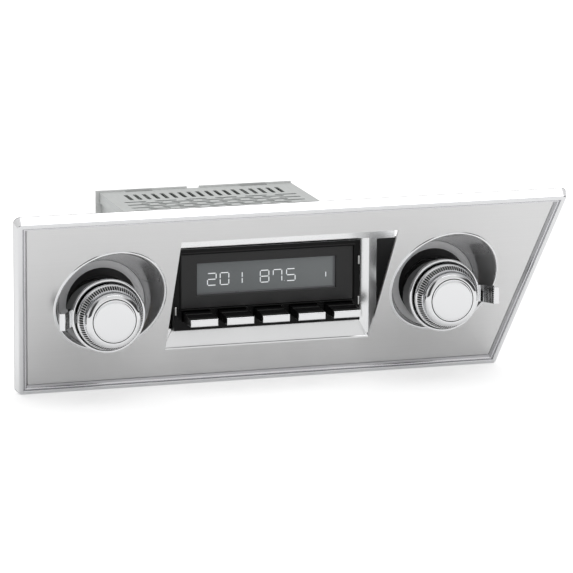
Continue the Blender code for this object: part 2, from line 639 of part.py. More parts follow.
def build_display():
    """Smoked lens, display glass, light guide, front circuit board and rubber keypad."""
    def slab(name, width, height, middle, front, thick, material):
        box(name, (-width / 2, middle - height / 2, front - thick),
            (width / 2, middle + height / 2, front), radio, material)
    slab("display_lens", LENS_WIDTH, LENS_HEIGHT, LENS_MIDDLE, -LENS_SINK, LENS_THICK, SMOKED)
    slab("lcd_panel", LCD_WIDTH, LCD_HEIGHT, LENS_MIDDLE, LCD_FRONT, LCD_THICK, GLASS)
    slab("light_guide", LCD_WIDTH, LCD_HEIGHT, LENS_MIDDLE, LIGHT_GUIDE_FRONT, LIGHT_GUIDE_THICK, MILKY)
    clear = NOSE_WALL + GAP
    slab("front_board", NOSE_WIDTH - 2 * clear, NOSE_HEIGHT - 2 * clear, 0.0,
         FRONT_BOARD_FRONT, BOARD_THICK, BOARD)
    keypad_back = FRONT_BOARD_FRONT + GAP
    half = NOSE_WIDTH / 2 - clear
    base_front = max(KEYPAD_FRONT - DOME_HEIGHT, keypad_back + KEYPAD_BASE)
    keypad = box("keypad_strip", (-half, -BUTTON_DROP - BUTTON_HEIGHT / 2, keypad_back),
                 (half, -BUTTON_DROP + BUTTON_HEIGHT / 2, base_front), radio, RUBBER)
    for i in range(BUTTON_COUNT):
        dome = cylinder(f"keypad_dome_{i + 1}", DOME_RADIUS, keypad_back + KEYPAD_BASE / 2,
                        KEYPAD_FRONT, radio, centre=(button_x(i), -BUTTON_DROP), steps=12)
        combine(keypad, dome, "UNION")


def build_button(index):
    """One preset button with its stop flange, and the bright bar on its front."""
    stem = axes(f"preset_axis_{index + 1}", radio, (button_x(index), -BUTTON_DROP, 0.0))
    half, tall = BUTTON_WIDTH / 2, BUTTON_HEIGHT / 2
    button = box(f"preset_button_{index + 1}", (-half, -tall, BUTTON_BACK),
                 (half, tall, BUTTON_REACH), stem, BLACK_PLASTIC)
    flange = box(f"preset_flange_{index + 1}", (-half - BUTTON_FLANGE, -tall - BUTTON_FLANGE, BUTTON_BACK),
                 (half + BUTTON_FLANGE, tall + BUTTON_FLANGE, FLANGE_FRONT), stem)
    combine(button, flange, "UNION")
    bar_back = BUTTON_REACH + GAP
    box(f"preset_bar_{index + 1}", (-half, -BAR_LOWER - BAR_HEIGHT / 2, bar_back),
        (half, -BAR_LOWER + BAR_HEIGHT / 2, bar_back + BAR_THICK), stem, CHROME, BUTTON_EDGE)


def build_bracket(side):
    """Folded steel bracket from the chassis side out to a control, behind its dish."""
    sign = 1 if side == "right" else -1
    inner = CHASSIS_WIDTH / 2 + GAP
    outer = AXIS_X + BRACKET_OVERHANG
    leg_back = BRACKET_FRONT - BRACKET_LEG
    outline = [(inner, leg_back), (inner + BRACKET_THICK, leg_back),
               (inner + BRACKET_THICK, BRACKET_BACK), (outer, BRACKET_BACK),
               (outer, BRACKET_FRONT), (inner, BRACKET_FRONT)]
    bend = axes(side + "_bracket_axes", radio, (0.0, -AXIS_DROP, 0.0), math.pi / 2)
    mirrored = [(sign * x, z) for x, z in outline]
    bracket = prism(side + "_bracket", mirrored, -BRACKET_RISE, BRACKET_DROP, bend, BLACK_STEEL)
    combine(bracket, cylinder(side + "_bushing_hole", BUSHING_RADIUS + GAP, BRACKET_BACK - BRACKET_THICK,
                              BRACKET_FRONT + BRACKET_THICK, KNOB_AXES[side]))
    for i, centre in enumerate(boss_places(side)):
        combine(bracket, cylinder(f"{side}_screw_hole_{i}", SCREW_RADIUS + GAP,
                                  BRACKET_BACK - BRACKET_THICK, BRACKET_FRONT + BRACKET_THICK,
                                  DISH_AXES[side], centre=centre))


def build_dish_screws(side):
    """Two screws through the bracket into the dish's bosses."""
    axis = DISH_AXES[side]
    head_front = BRACKET_BACK - GAP
    for level, (x, y) in zip(("upper", "lower"), boss_places(side)):
        place = axes(f"{side}_{level}_screw_axis", axis, (x, y, 0.0))
        turned(f"{side}_{level}_dish_screw",
               [(0.0, BRACKET_FRONT + SCREW_GRIP), (SCREW_RADIUS, BRACKET_FRONT + SCREW_GRIP),
                (SCREW_RADIUS, head_front), (SCREW_HEAD_RADIUS, head_front),
                (SCREW_HEAD_RADIUS, head_front - SCREW_HEAD_THICK),
                (0.0, head_front - SCREW_HEAD_THICK)], place, STEEL, 12)


def build_control(side, use):
    """One dual control: body, bushing, nut, push rod, shaft and the sleeve round the shaft."""
    axis = KNOB_AXES[side]
    half = CONTROL_SIZE / 2
    body = box(use + "_control_body", (-half, -half, CONTROL_BACK), (half, half, CONTROL_FRONT),
               axis, BLACK_PLASTIC)
    combine(body, cylinder(use + "_body_bore", SHAFT_RADIUS + GAP, 2 * CONTROL_BACK, 0.0, axis))
    flange_front = BUSHING_BACK + BUSHING_FLANGE_THICK
    turned(use + "_bushing", [(BUSHING_RADIUS, BUSHING_FRONT), (BUSHING_RADIUS, flange_front),
                              (BUSHING_FLANGE_RADIUS, flange_front), (BUSHING_FLANGE_RADIUS, BUSHING_BACK),
                              (BUSHING_BORE, BUSHING_BACK), (BUSHING_BORE, BUSHING_FRONT)],
           axis, BRASS, SMALL_STEPS)
    nut_back = BRACKET_FRONT + GAP
    nut = cylinder(use + "_nut", NUT_ACROSS_FLATS / math.sqrt(3), nut_back, nut_back + NUT_THICK,
                   axis, STEEL, steps=6)
    combine(nut, cylinder(use + "_nut_hole", BUSHING_RADIUS + GAP, 2 * nut_back, 0.0, axis))
    rod_back = CONTROL_BACK + KNOB_TRAVEL
    cylinder(use + "_push_rod", SHAFT_RADIUS, rod_back, SHAFT_BACK - GAP, axis, STEEL)
    cylinder(use + "_shaft", SHAFT_RADIUS, SHAFT_BACK, KNOB_FRONT - CAP_SINK - SHAFT_RADIUS, axis, STEEL)
    sleeve_front = RING_FRONT - RING_THICK - GAP
    turned(use + "_sleeve", [(SLEEVE_RADIUS, sleeve_front), (SLEEVE_RADIUS, BRACKET_BACK),
                             (SLEEVE_BORE, BRACKET_BACK), (SLEEVE_BORE, sleeve_front)],
           axis, STEEL, SMALL_STEPS)


def build_knob(side, use):
    """Coin-edged chrome knob with a bright cap, and behind it the tabbed ring on its skirt."""
    axis = KNOB_AXES[side]
    recess = KNOB_FRONT - CAP_SINK
    bore = SHAFT_RADIUS + GAP
    band_front = KNOB_BACK + KNOB_BAND
    slope = KNOB_RADIUS - KNOB_SHOULDER_RADIUS
    crown = KNOB_FRONT - band_front - slope
    rim = CAP_RADIUS + GAP
    turned(use + "_knob",
           [(0.0, recess), (rim, recess), (rim, KNOB_FRONT),
            (rim + (KNOB_SHOULDER_RADIUS - rim) * 0.5, KNOB_FRONT - crown * 0.13),
            (rim + (KNOB_SHOULDER_RADIUS - rim) * 0.87, KNOB_FRONT - crown * 0.5),
            (KNOB_SHOULDER_RADIUS, band_front + slope), (KNOB_RADIUS, band_front),
            (KNOB_RADIUS, KNOB_BACK), (bore, KNOB_BACK),
            (bore, recess - SHAFT_RADIUS + GAP), (0.0, recess - SHAFT_RADIUS + GAP)], axis, CHROME)
    cap_back = recess + GAP
    turned(use + "_knob_cap",
           [(0.0, cap_back + CAP_CROWN), (CAP_RADIUS * 0.7, cap_back + CAP_CROWN * 0.9),
            (CAP_RADIUS, cap_back + CAP_CROWN * 0.6), (CAP_RADIUS, cap_back), (0.0, cap_back)],
           axis, CHROME)
    ring_back = RING_FRONT - RING_THICK
    ring = turned(use + "_tab_ring",
                  [(RING_RADIUS - RING_THICK / 4, RING_FRONT), (RING_RADIUS, RING_FRONT - RING_THICK / 4),
                   (RING_RADIUS, ring_back), (RING_HOLE_RADIUS, ring_back),
                   (RING_HOLE_RADIUS, RING_FRONT)], axis, CHROME)
    half = TAB_WIDTH / 2
    tip_back = TAB_FRONT - TAB_TIP_THICK
    reach = math.sqrt((dish_radius(tip_back) - TAB_CLEAR) ** 2 - (half + DISH_RISE) ** 2) - DISH_INSET
    root = (RING_RADIUS + RING_HOLE_RADIUS) / 2
    arm_front = ring_back + TAB_ARM_THICK
    tab = prism(use + "_tab", [(root, ring_back), (RING_RADIUS + TAB_TIP, ring_back), (reach, tip_back),
                               (reach, TAB_FRONT), (reach - TAB_TIP, TAB_FRONT),
                               (RING_RADIUS, arm_front), (root, arm_front)], -half, half, axis)
    tab.rotation_euler = (math.pi / 2, 0.0, 0.0 if side == "right" else math.pi)
    combine(ring, tab, "UNION")
    skirt_front = ring_back - GAP
    hub = SLEEVE_RADIUS + GAP
    turned(use + "_ring_skirt",
           [(SKIRT_RADIUS, skirt_front), (SKIRT_RADIUS, SKIRT_BACK),
            (SKIRT_RADIUS - SKIRT_WALL, SKIRT_BACK),
            (SKIRT_RADIUS - SKIRT_WALL, skirt_front - SKIRT_FRONT_THICK),
            (hub, skirt_front - SKIRT_FRONT_THICK), (hub, skirt_front)], axis, BLACK_PLASTIC)


def build_tray():
    """Folded sheet tray, open above and behind, with standoffs for the circuit board."""
    half = CHASSIS_WIDTH / 2
    top = LID_UNDER - GAP
    tray = box("chassis_tray", (-half, CHASSIS_BOTTOM, LID_REAR), (half, top, CHASSIS_FRONT), radio, ZINC)
    combine(tray, box("tray_hollow", (-half + SHEET, TRAY_FLOOR, 2 * CHASSIS_REAR),
                      (half - SHEET, 2 * CHASSIS_TOP, CHASSIS_FRONT - SHEET), radio))
    border = FRONT_OPENING_BORDER
    combine(tray, box("tray_front_opening",
                      (-NOSE_WIDTH / 2 + border, -NOSE_HEIGHT / 2 + border, CHASSIS_FRONT - 2 * SHEET),
                      (NOSE_WIDTH / 2 - border, NOSE_HEIGHT / 2 - border, 0.0), radio))
    for i, place in enumerate(standoff_places()):
        post = cylinder(f"standoff_{i}", STANDOFF_RADIUS, CHASSIS_BOTTOM + SHEET / 2,
                        TRAY_FLOOR + STANDOFF_HEIGHT, board_axes, centre=place, steps=12)
        combine(tray, post, "UNION")


BOARD_HALF = CHASSIS_WIDTH / 2 - BOARD_MARGIN
BOARD_FRONT = CHASSIS_FRONT - BOARD_MARGIN
BOARD_REAR = LID_REAR + BOARD_MARGIN
# Plan view of the chassis: x to the right, y towards the rear, z up
board_axes = axes("board_axes", radio, (0.0, 0.0, 0.0), -math.pi / 2)


def standoff_places():
    for x in (-BOARD_HALF + STANDOFF_INSET, BOARD_HALF - STANDOFF_INSET):
        for y in (-BOARD_FRONT + STANDOFF_INSET, -BOARD_REAR - STANDOFF_INSET):
            yield x, y


def slot_outline(length, width, x, y, along_y):
    """A round-ended slot in plan."""
    half, end = length / 2 - width / 2, width / 2
    points = []
    for centre, start in ((half, -90.0), (-half, 90.0)):
        for step in range(4):
            turn = math.radians(start + 60.0 * step)
            points.append((centre + end * math.cos(turn), end * math.sin(turn)))
    if along_y:
        points = [(-b, a) for a, b in points]
    return [(x + a, y + b) for a, b in points]


def build_lid():
    """Sheet lid with turned-down sides, a row of long slots and staggered rows of short ones."""
    lid = box("chassis_lid", (-LID_HALF, CHASSIS_TOP - SHEET - LID_FLANGE, LID_REAR),
              (LID_HALF, CHASSIS_TOP, CHASSIS_FRONT), radio, ZINC)
    combine(lid, box("lid_hollow", (-LID_HALF + SHEET, -CHASSIS_TOP, 2 * CHASSIS_REAR),
                     (LID_HALF - SHEET, LID_UNDER, 0.0), radio))
    for sign in (-1, 1):
        x = sign * LID_TAB_OFFSET
        combine(lid, box(f"lid_tab_notch_{sign}", (x - LID_TAB_WIDTH / 2, 0.0, 2 * CHASSIS_REAR),
                         (x + LID_TAB_WIDTH / 2, 2 * CHASSIS_TOP, LID_REAR + LID_TAB_DEPTH), radio))
    outlines = []
    slot_y = -LID_REAR - SLOT_FROM_REAR - SLOT_LENGTH / 2
    for i in range(SLOT_COUNT):
        x = (i - (SLOT_COUNT - 1) / 2) * SLOT_PITCH
        outlines.append(slot_outline(SLOT_LENGTH, SLOT_WIDTH, x, slot_y, True))
    first_row = slot_y - SLOT_LENGTH / 2 - BRICK_FROM_SLOTS
    for row in range(BRICK_ROWS):
        bricks = BRICKS_PER_ROW - row % 2
        for i in range(bricks):
            x = (i - (bricks - 1) / 2) * BRICK_PITCH
            y = first_row - row * BRICK_ROW_PITCH
            outlines.append(slot_outline(BRICK_LENGTH, BRICK_WIDTH, x, y, False))
    combine(lid, prisms("vent_slots", outlines, LID_UNDER - SHEET, CHASSIS_TOP + SHEET, board_axes))


def prisms(name, outlines, low, high, parent):
    """Many separate prisms in one cutter."""
    shape = bmesh.new()
    faces = [shape.faces.new([shape.verts.new((x, y, low)) for x, y in outline]) for outline in outlines]
    grown = bmesh.ops.extrude_face_region(shape, geom=faces)
    moved = [item for item in grown["geom"] if isinstance(item, bmesh.types.BMVert)]
    bmesh.ops.translate(shape, verts=moved, vec=(0.0, 0.0, high - low))
    return add(name, to_mesh(name, shape), parent, None)


def build_rear():
    """Rear panel with its notch and holes, and the antenna, line-out and power sockets."""
    top = CHASSIS_TOP + REAR_RISE
    panel = box("rear_panel", (-LID_HALF - REAR_PAST_LEFT, CHASSIS_BOTTOM, CHASSIS_REAR),
                (LID_HALF, top, CHASSIS_REAR + REAR_THICK), radio, ZINC)
    notch_half = REAR_NOTCH_WIDTH / 2
    combine(panel, box("rear_notch", (REAR_NOTCH_X - notch_half, top - REAR_NOTCH_DEPTH, 2 * CHASSIS_REAR),
                       (REAR_NOTCH_X + notch_half, 2 * CHASSIS_TOP, 0.0), radio))
    end = CHASSIS_REAR - SOCKET_REACH
    inside = LID_REAR + GAP
    antenna_axis = axes("antenna_axis", radio, (ANTENNA_X, SOCKET_RISE, 0.0))
    turned("antenna_socket",
           [(ANTENNA_RADIUS * 1.3, inside + SHEET), (ANTENNA_RADIUS * 1.3, inside),
            (ANTENNA_RADIUS, inside), (ANTENNA_RADIUS, end), (ANTENNA_BORE, end),
            (ANTENNA_BORE, inside + SHEET)], antenna_axis, STEEL, SMALL_STEPS)
    combine(panel, cylinder("antenna_hole", ANTENNA_RADIUS + GAP, 2 * CHASSIS_REAR, 0.0, antenna_axis))

    jack_half = JACK_PITCH
    block_front = inside + JACK_BLOCK_DEPTH
    jacks = box("line_out_jacks", (JACK_X - jack_half, SOCKET_RISE - jack_half, inside),
                (JACK_X + jack_half, SOCKET_RISE + jack_half, block_front), radio, BLACK_PLASTIC)
    for i, (dx, dy) in enumerate(((-1, -1), (1, -1), (1, 1), (-1, 1))):
        centre = (JACK_X + dx * JACK_PITCH / 2, SOCKET_RISE + dy * JACK_PITCH / 2)
        combine(jacks, cylinder(f"jack_barrel_{i}", JACK_RADIUS, end, (inside + block_front) / 2,
                                radio, centre=centre, steps=16), "UNION")
        combine(jacks, cylinder(f"jack_bore_{i}", JACK_PIN_BORE, 2 * end, inside, radio,
                                centre=centre, steps=8))
        combine(panel, cylinder(f"jack_hole_{i}", JACK_RADIUS + GAP, 2 * CHASSIS_REAR, 0.0, radio,
                                centre=centre, steps=16))

    wide, tall = POWER_SIZE[0] / 2, POWER_SIZE[1] / 2
    power_end = CHASSIS_REAR - SOCKET_REACH / 2
    power = box("power_socket", (POWER_X - wide, SOCKET_RISE - tall, power_end),
                (POWER_X + wide, SOCKET_RISE + tall, power_end + POWER_DEPTH), radio, BLACK_PLASTIC)
    inner_wide, inner_tall = wide - POWER_WALL, tall - POWER_WALL
    combine(power, box("power_cavity", (POWER_X - inner_wide, SOCKET_RISE - inner_tall, 2 * power_end),
                       (POWER_X + inner_wide, SOCKET_RISE + inner_tall,
                        power_end + POWER_DEPTH - POWER_WALL), radio))
    combine(panel, box("power_hole", (POWER_X - wide - GAP, SOCKET_RISE - tall - GAP, 2 * CHASSIS_REAR),
                       (POWER_X + wide + GAP, SOCKET_RISE + tall + GAP, 0.0), radio))


def build_inside():
    """Main circuit board with the tuner can, amplifier, heat sink and capacitor on it."""
    box("main_board", (-BOARD_HALF, BOARD_UNDER, BOARD_REAR), (BOARD_HALF, BOARD_TOP, BOARD_FRONT),
        radio, BOARD)
    on_board = BOARD_TOP + GAP
    width, height, length = TUNER_SIZE
    left = -BOARD_HALF + BOARD_MARGIN
    front = BOARD_FRONT - BOARD_MARGIN
    box("tuner_can", (left, on_board, front - length), (left + width, on_board + height, front),
        radio, STEEL, SHEET)

    width, height, length = HEAT_SINK_SIZE
    wall = CHASSIS_WIDTH / 2 - SHEET - GAP
    base = wall - HEAT_SINK_BASE
    low = on_board
    outline = [(wall, low), (wall, low + height)]
    pitch = (height - HEAT_SINK_FIN) / (HEAT_SINK_FINS - 1)
    for i in reversed(range(HEAT_SINK_FINS)):
        foot = low + i * pitch
        outline += [(wall - width, foot + HEAT_SINK_FIN), (wall - width, foot)]
        if i:
            outline += [(base, foot), (base, foot - pitch + HEAT_SINK_FIN)]
    prism("heat_sink", outline, front - length, front, radio, ALLOY)

    thick, height, length = AMPLIFIER_SIZE
    face = wall - HEAT_SINK_SIZE[0] - GAP
    box("amplifier_chip", (face - thick, on_board, front - length), (face, on_board + height, front),
        radio, BLACK_PLASTIC)
    place = axes("capacitor_axes", board_axes, (0.0, -front + CAPACITOR_RADIUS, 0.0))
    turned("filter_capacitor",
           [(0.0, on_board + CAPACITOR_HEIGHT), (CAPACITOR_RADIUS * 0.85, on_board + CAPACITOR_HEIGHT),
            (CAPACITOR_RADIUS, on_board + CAPACITOR_HEIGHT * 0.95), (CAPACITOR_RADIUS, on_board),
            (0.0, on_board)], place, BLUE, SMALL_STEPS)


build_bezel_frame()
build_face_plate()
for knob_side, knob_use in (("left", "volume"), ("right", "tuner")):
    build_dish(knob_side)
    build_bracket(knob_side)
    build_dish_screws(knob_side)
    build_control(knob_side, knob_use)
    build_knob(knob_side, knob_use)
build_trim_plate()
build_nose()
build_display()
for number in range(BUTTON_COUNT):
    build_button(number)
build_tray()
build_lid()
build_rear()
build_inside()
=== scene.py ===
import math

import bmesh
import bpy
from mathutils import Matrix, Vector


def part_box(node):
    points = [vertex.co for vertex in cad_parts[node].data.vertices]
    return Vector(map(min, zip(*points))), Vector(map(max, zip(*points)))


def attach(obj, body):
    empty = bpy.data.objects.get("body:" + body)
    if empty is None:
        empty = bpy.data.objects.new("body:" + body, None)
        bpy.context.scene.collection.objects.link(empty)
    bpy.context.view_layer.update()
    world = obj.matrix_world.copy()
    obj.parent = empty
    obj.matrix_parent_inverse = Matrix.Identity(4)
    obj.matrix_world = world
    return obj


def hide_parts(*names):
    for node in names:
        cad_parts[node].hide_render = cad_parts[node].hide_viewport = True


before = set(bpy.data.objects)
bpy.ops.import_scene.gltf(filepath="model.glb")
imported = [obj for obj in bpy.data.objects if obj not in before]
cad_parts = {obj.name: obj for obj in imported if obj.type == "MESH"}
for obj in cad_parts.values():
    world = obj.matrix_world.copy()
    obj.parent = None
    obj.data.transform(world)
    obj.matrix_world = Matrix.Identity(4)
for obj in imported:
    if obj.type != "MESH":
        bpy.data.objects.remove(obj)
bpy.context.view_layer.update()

MM = 0.001

# Bezel frame: a die-cast zinc rim, chromed all over and polished. A crowned lip runs round the
# front, then a double groove, then a step down to the face plate that lies on the rim's ledge.
nose_low, nose_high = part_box("nose_housing")
NOSE_FRONT_Y = nose_low.y
NOSE_MIDDLE_Z = (nose_low.z + nose_high.z) / 2
LEAN = math.radians(32.0)
RIM_STANDOFF = 19.8 * MM
RIM_TOP = 74.0 * MM
RIM_BOTTOM = -53.0 * MM
RIM_BOTTOM_HALF = 137.32 * MM
RIM_SPLAY = 0.12
RIM_DEPTH = 5.8 * MM
RIM_DRAFT = 1.4 * MM
FOOT_DRAFT = 3.2 * MM
RIM_CORNER = 2.0 * MM
RIM_LEAST_CORNER = 0.3 * MM
CORNER_STEPS = 6
GROOVE_START = 2.65 * MM
BEAD_START = 3.3 * MM
STEP_START = 4.15 * MM
FACE_RECESS = 2.3 * MM
FACE_INSET = 5.0 * MM
LEDGE_DEPTH = 4.1 * MM
LEDGE_WIDTH = 6.0 * MM


def front_view(x, up, forward):
    """A place measured from the middle of the nosepiece's front face."""
    return Vector((x, NOSE_FRONT_Y - forward, NOSE_MIDDLE_Z + up))


def on_bezel(x, along, behind):
    """A place on the leaning bezel: along runs up the slope, behind is below the rim plane."""
    out = RIM_STANDOFF - behind
    return front_view(x, along * math.cos(LEAN) - out * math.sin(LEAN),
                      along * math.sin(LEAN) + out * math.cos(LEAN))


def rounded(corners, radius, steps):
    """Corners of an outline, anticlockwise, each replaced by an arc."""
    points = []
    for i, corner in enumerate(corners):
        here = Vector(corner)
        back = (Vector(corners[i - 1]) - here).normalized()
        ahead = (Vector(corners[(i + 1) % len(corners)]) - here).normalized()
        half = back.angle(ahead) / 2
        centre = here + (back + ahead).normalized() * radius / math.sin(half)
        start = here + back * radius / math.tan(half) - centre
        for k in range(steps + 1):
            points.append(centre + Matrix.Rotation((math.pi - 2 * half) * k / steps, 2) @ start)
    return points


def rim_loop(inset, behind):
    """The rim's outline moved in by inset, at a depth behind the rim plane; the foot lies level."""
    slant = math.sqrt(1 + RIM_SPLAY ** 2)
    foot = inset * FOOT_DRAFT / RIM_DRAFT if inset < 0.0 else inset
    high, low = RIM_TOP - inset, RIM_BOTTOM + foot
    high_half = RIM_BOTTOM_HALF + RIM_SPLAY * (high - RIM_BOTTOM) - inset * slant
    low_half = RIM_BOTTOM_HALF + RIM_SPLAY * (low - RIM_BOTTOM) - inset * slant
    corners = [(-low_half, low), (low_half, low), (high_half, high), (-high_half, high)]
    radius = max(RIM_CORNER - inset, RIM_LEAST_CORNER)
    return [on_bezel(p.x, p.y, behind) for p in rounded(corners, radius, CORNER_STEPS)]


def piece_from(name, shape, material, sharp=35.0):
    """Turn a bmesh into an object, smooth but for its sharp edges."""
    mesh = bpy.data.meshes.new(name)
    bmesh.ops.recalc_face_normals(shape, faces=shape.faces)
    shape.to_mesh(mesh)
    shape.free()
    mesh.shade_smooth()
    mesh.set_sharp_from_angle(angle=math.radians(sharp))
    mesh.materials.append(material)
    piece = bpy.data.objects.new(name, mesh)
    bpy.context.scene.collection.objects.link(piece)
    return piece


def loft(loops, ends="joined", shape=None):
    """Skin loops of equal length; the end loops are joined to each other, capped or left open."""
    shape = bmesh.new() if shape is None else shape
    rows = [[shape.verts.new(point) for point in loop] for loop in loops]
    following = rows[1:] + rows[:1] if ends == "joined" else rows[1:]
    for one, two in zip(rows, following):
        for i in range(len(one)):
            shape.faces.new((one[i - 1], one[i], two[i], two[i - 1]))
    if ends == "capped":
        shape.faces.new(rows[0])
        shape.faces.new(rows[-1])
    return shape


def arc(centre, radius, start, end, steps):
    """Points of an arc in a section, with angles in degrees."""
    turns = [math.radians(start + (end - start) * k / steps) for k in range(steps + 1)]
    return [(centre[0] + radius * math.cos(t), centre[1] + radius * math.sin(t)) for t in turns]


def handling_marks():
    """Node group: faint smudges and hairline scratches from handling, in object space."""
    group = bpy.data.node_groups.new("handling_marks", "ShaderNodeTree")
    group.interface.new_socket("Base", in_out="INPUT", socket_type="NodeSocketFloat")
    group.interface.new_socket("Spread", in_out="INPUT", socket_type="NodeSocketFloat")
    group.interface.new_socket("Roughness", in_out="OUTPUT", socket_type="NodeSocketFloat")
    group.interface.new_socket("Scratch", in_out="OUTPUT", socket_type="NodeSocketFloat")
    nodes, links = group.nodes, group.links
    entry = nodes.new("NodeGroupInput")
    leave = nodes.new("NodeGroupOutput")
    place = nodes.new("ShaderNodeTexCoord")
    smudge = nodes.new("ShaderNodeTexNoise")
    smudge.inputs["Scale"].default_value = 38.0
    smudge.inputs["Detail"].default_value = 5.0
    links.new(place.outputs["Object"], smudge.inputs["Vector"])
    stretch = nodes.new("ShaderNodeMapping")
    stretch.inputs["Scale"].default_value = (300.0, 2600.0, 900.0)
    stretch.inputs["Rotation"].default_value = (0.3, 0.5, 0.7)
    links.new(place.outputs["Object"], stretch.inputs["Vector"])
    scratch = nodes.new("ShaderNodeTexNoise")
    scratch.inputs["Scale"].default_value = 1.0
    scratch.inputs["Detail"].default_value = 2.0
    links.new(stretch.outputs["Vector"], scratch.inputs["Vector"])
    amount = nodes.new("ShaderNodeMath")
    amount.operation = "MULTIPLY_ADD"
    links.new(smudge.outputs["Fac"], amount.inputs[0])
    links.new(entry.outputs["Spread"], amount.inputs[1])
    links.new(entry.outputs["Base"], amount.inputs[2])
    links.new(amount.outputs["Value"], leave.inputs["Roughness"])
    links.new(scratch.outputs["Fac"], leave.inputs["Scratch"])
    return group


MARKS = handling_marks()


def place_group(material, group, **values):
    """Place a node group in a material with its own values."""
    node = material.node_tree.nodes.new("ShaderNodeGroup")
    node.node_tree = group
    for socket, value in values.items():
        node.inputs[socket].default_value = value
    return node


def add_relief(material, height, strength, depth):
    """Give a material a fine relief from a height that changes over its surface."""
    nodes, links = material.node_tree.nodes, material.node_tree.links
    bump = nodes.new("ShaderNodeBump")
    bump.inputs["Strength"].default_value = strength
    bump.inputs["Distance"].default_value = depth
    links.new(height, bump.inputs["Height"])
    links.new(bump.outputs["Normal"], nodes["Principled BSDF"].inputs["Normal"])


def finish(name, colour, metallic, base, spread, relief, specular=0.5):
    """A material whose roughness and fine relief come from the handling marks."""
    material = bpy.data.materials.new(name)
    material.use_nodes = True
    shader = material.node_tree.nodes["Principled BSDF"]
    shader.inputs["Base Color"].default_value = (*colour, 1.0)
    shader.inputs["Metallic"].default_value = metallic
    shader.inputs["Specular IOR Level"].default_value = specular
    marks = place_group(material, MARKS, Base=base, Spread=spread)
    material.node_tree.links.new(marks.outputs["Roughness"], shader.inputs["Roughness"])
    add_relief(material, marks.outputs["Scratch"], relief, 0.02 * MM)
    return material


chrome = finish("polished_chrome", (0.86, 0.865, 0.875), 1.0, 0.02, 0.07, 0.05)
shaded_chrome = finish("shaded_groove", (0.56, 0.56, 0.58), 1.0, 0.10, 0.08, 0.05)
# The bead is a darker copy of the chrome: painted shade along the rim.
bead_shade_chrome = finish("painted_shade_bead", (0.80, 0.80, 0.82), 1.0, 0.14, 0.08, 0.05)
# The narrow band at the rim's back edge is painted dark grey: painted shade along its outline.
rear_edge_shade = finish("painted_shade_rear_edge", (0.34, 0.34, 0.34), 0.3, 0.45, 0.15, 0.3)
# The step down to the face plate is a darker, less metallic copy of the chrome: painted shade in the recess.
step_shade_chrome = finish("painted_shade_step", (0.68, 0.68, 0.70), 0.35, 0.26, 0.10, 0.05)
# The flange's rounded corners are painted near-white and not metallic: a painted highlight on the chrome.
corner_highlight = finish("corner_highlight", (0.94, 0.94, 0.95), 0.0, 0.20, 0.10, 0.05)
rim_section = [(-RIM_DRAFT + 0.3 * MM, RIM_DEPTH), (-RIM_DRAFT + 0.1 * MM, RIM_DEPTH - 0.3 * MM),
               (-1.22 * MM, 5.2 * MM)]
rim_section += arc((0.72 * MM, 0.72 * MM), 0.7 * MM, 180.0, 270.0, 5)
rim_section += [(1.5 * MM, 0.02 * MM), (2.3 * MM, 0.03 * MM)]
rim_section += arc((2.3 * MM, 0.43 * MM), 0.4 * MM, 270.0, 350.0, 4)
rim_section += [(2.9 * MM, 0.9 * MM), (3.2 * MM, 0.9 * MM)]
rim_section += arc((3.75 * MM, 0.85 * MM), 0.4 * MM, 200.0, 340.0, 5)
rim_section += [(4.3 * MM, 1.15 * MM), (4.7 * MM, 1.9 * MM), (FACE_INSET, FACE_RECESS),
                (FACE_INSET, LEDGE_DEPTH), (FACE_INSET + LEDGE_WIDTH, LEDGE_DEPTH),
                (FACE_INSET + LEDGE_WIDTH, RIM_DEPTH)]
REAR_EDGE_BAND = 1
FLANGE_BAND = 2
rim_loops = [rim_loop(*point) for point in rim_section]
rim = piece_from("chromed_rim", loft(rim_loops), chrome)
for material in (shaded_chrome, bead_shade_chrome, rear_edge_shade, step_shade_chrome, corner_highlight):
    rim.data.materials.append(material)
for index, face in enumerate(rim.data.polygons):
    band, place = divmod(index, len(rim_loops[0]))
    inset, behind = rim_section[band]
    if GROOVE_START < inset < BEAD_START:
        face.material_index = 1
    elif BEAD_START <= inset <= STEP_START:
        face.material_index = 2
    elif band == REAR_EDGE_BAND:
        face.material_index = 3
    elif STEP_START < inset and behind < FACE_RECESS:
        face.material_index = 4
    elif band == FLANGE_BAND and place % (CORNER_STEPS + 1) > 0:
        face.material_index = 5
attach(rim, "radio")
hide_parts("bezel_frame")

# Face plate: aluminium sheet, brushed very finely along its length and left satin. It lies on
# the rim's ledge and is pierced for the window and the two dishes.
satin = bpy.data.materials.new("satin_aluminium")
satin.use_nodes = True
satin_nodes, satin_links = satin.node_tree.nodes, satin.node_tree.links
satin_shader = satin_nodes["Principled BSDF"]
satin_shader.inputs["Metallic"].default_value = 1.0


def brushed_lines():
    """Node group: fine lines drawn out along one direction, as a brush or a rolling mill leaves."""
    group = bpy.data.node_groups.new("brushed_lines", "ShaderNodeTree")
    group.interface.new_socket("Stretch", in_out="INPUT", socket_type="NodeSocketVector")
    group.interface.new_socket("Line", in_out="OUTPUT", socket_type="NodeSocketFloat")
    nodes, links = group.nodes, group.links
    entry = nodes.new("NodeGroupInput")
    leave = nodes.new("NodeGroupOutput")
    place = nodes.new("ShaderNodeTexCoord")
    stretch = nodes.new("ShaderNodeMapping")
    links.new(place.outputs["Object"], stretch.inputs["Vector"])
    links.new(entry.outputs["Stretch"], stretch.inputs["Scale"])
    line = nodes.new("ShaderNodeTexNoise")
    line.inputs["Scale"].default_value = 1.0
    line.inputs["Detail"].default_value = 4.0
    links.new(stretch.outputs["Vector"], line.inputs["Vector"])
    links.new(line.outputs["Fac"], leave.inputs["Line"])
    return group


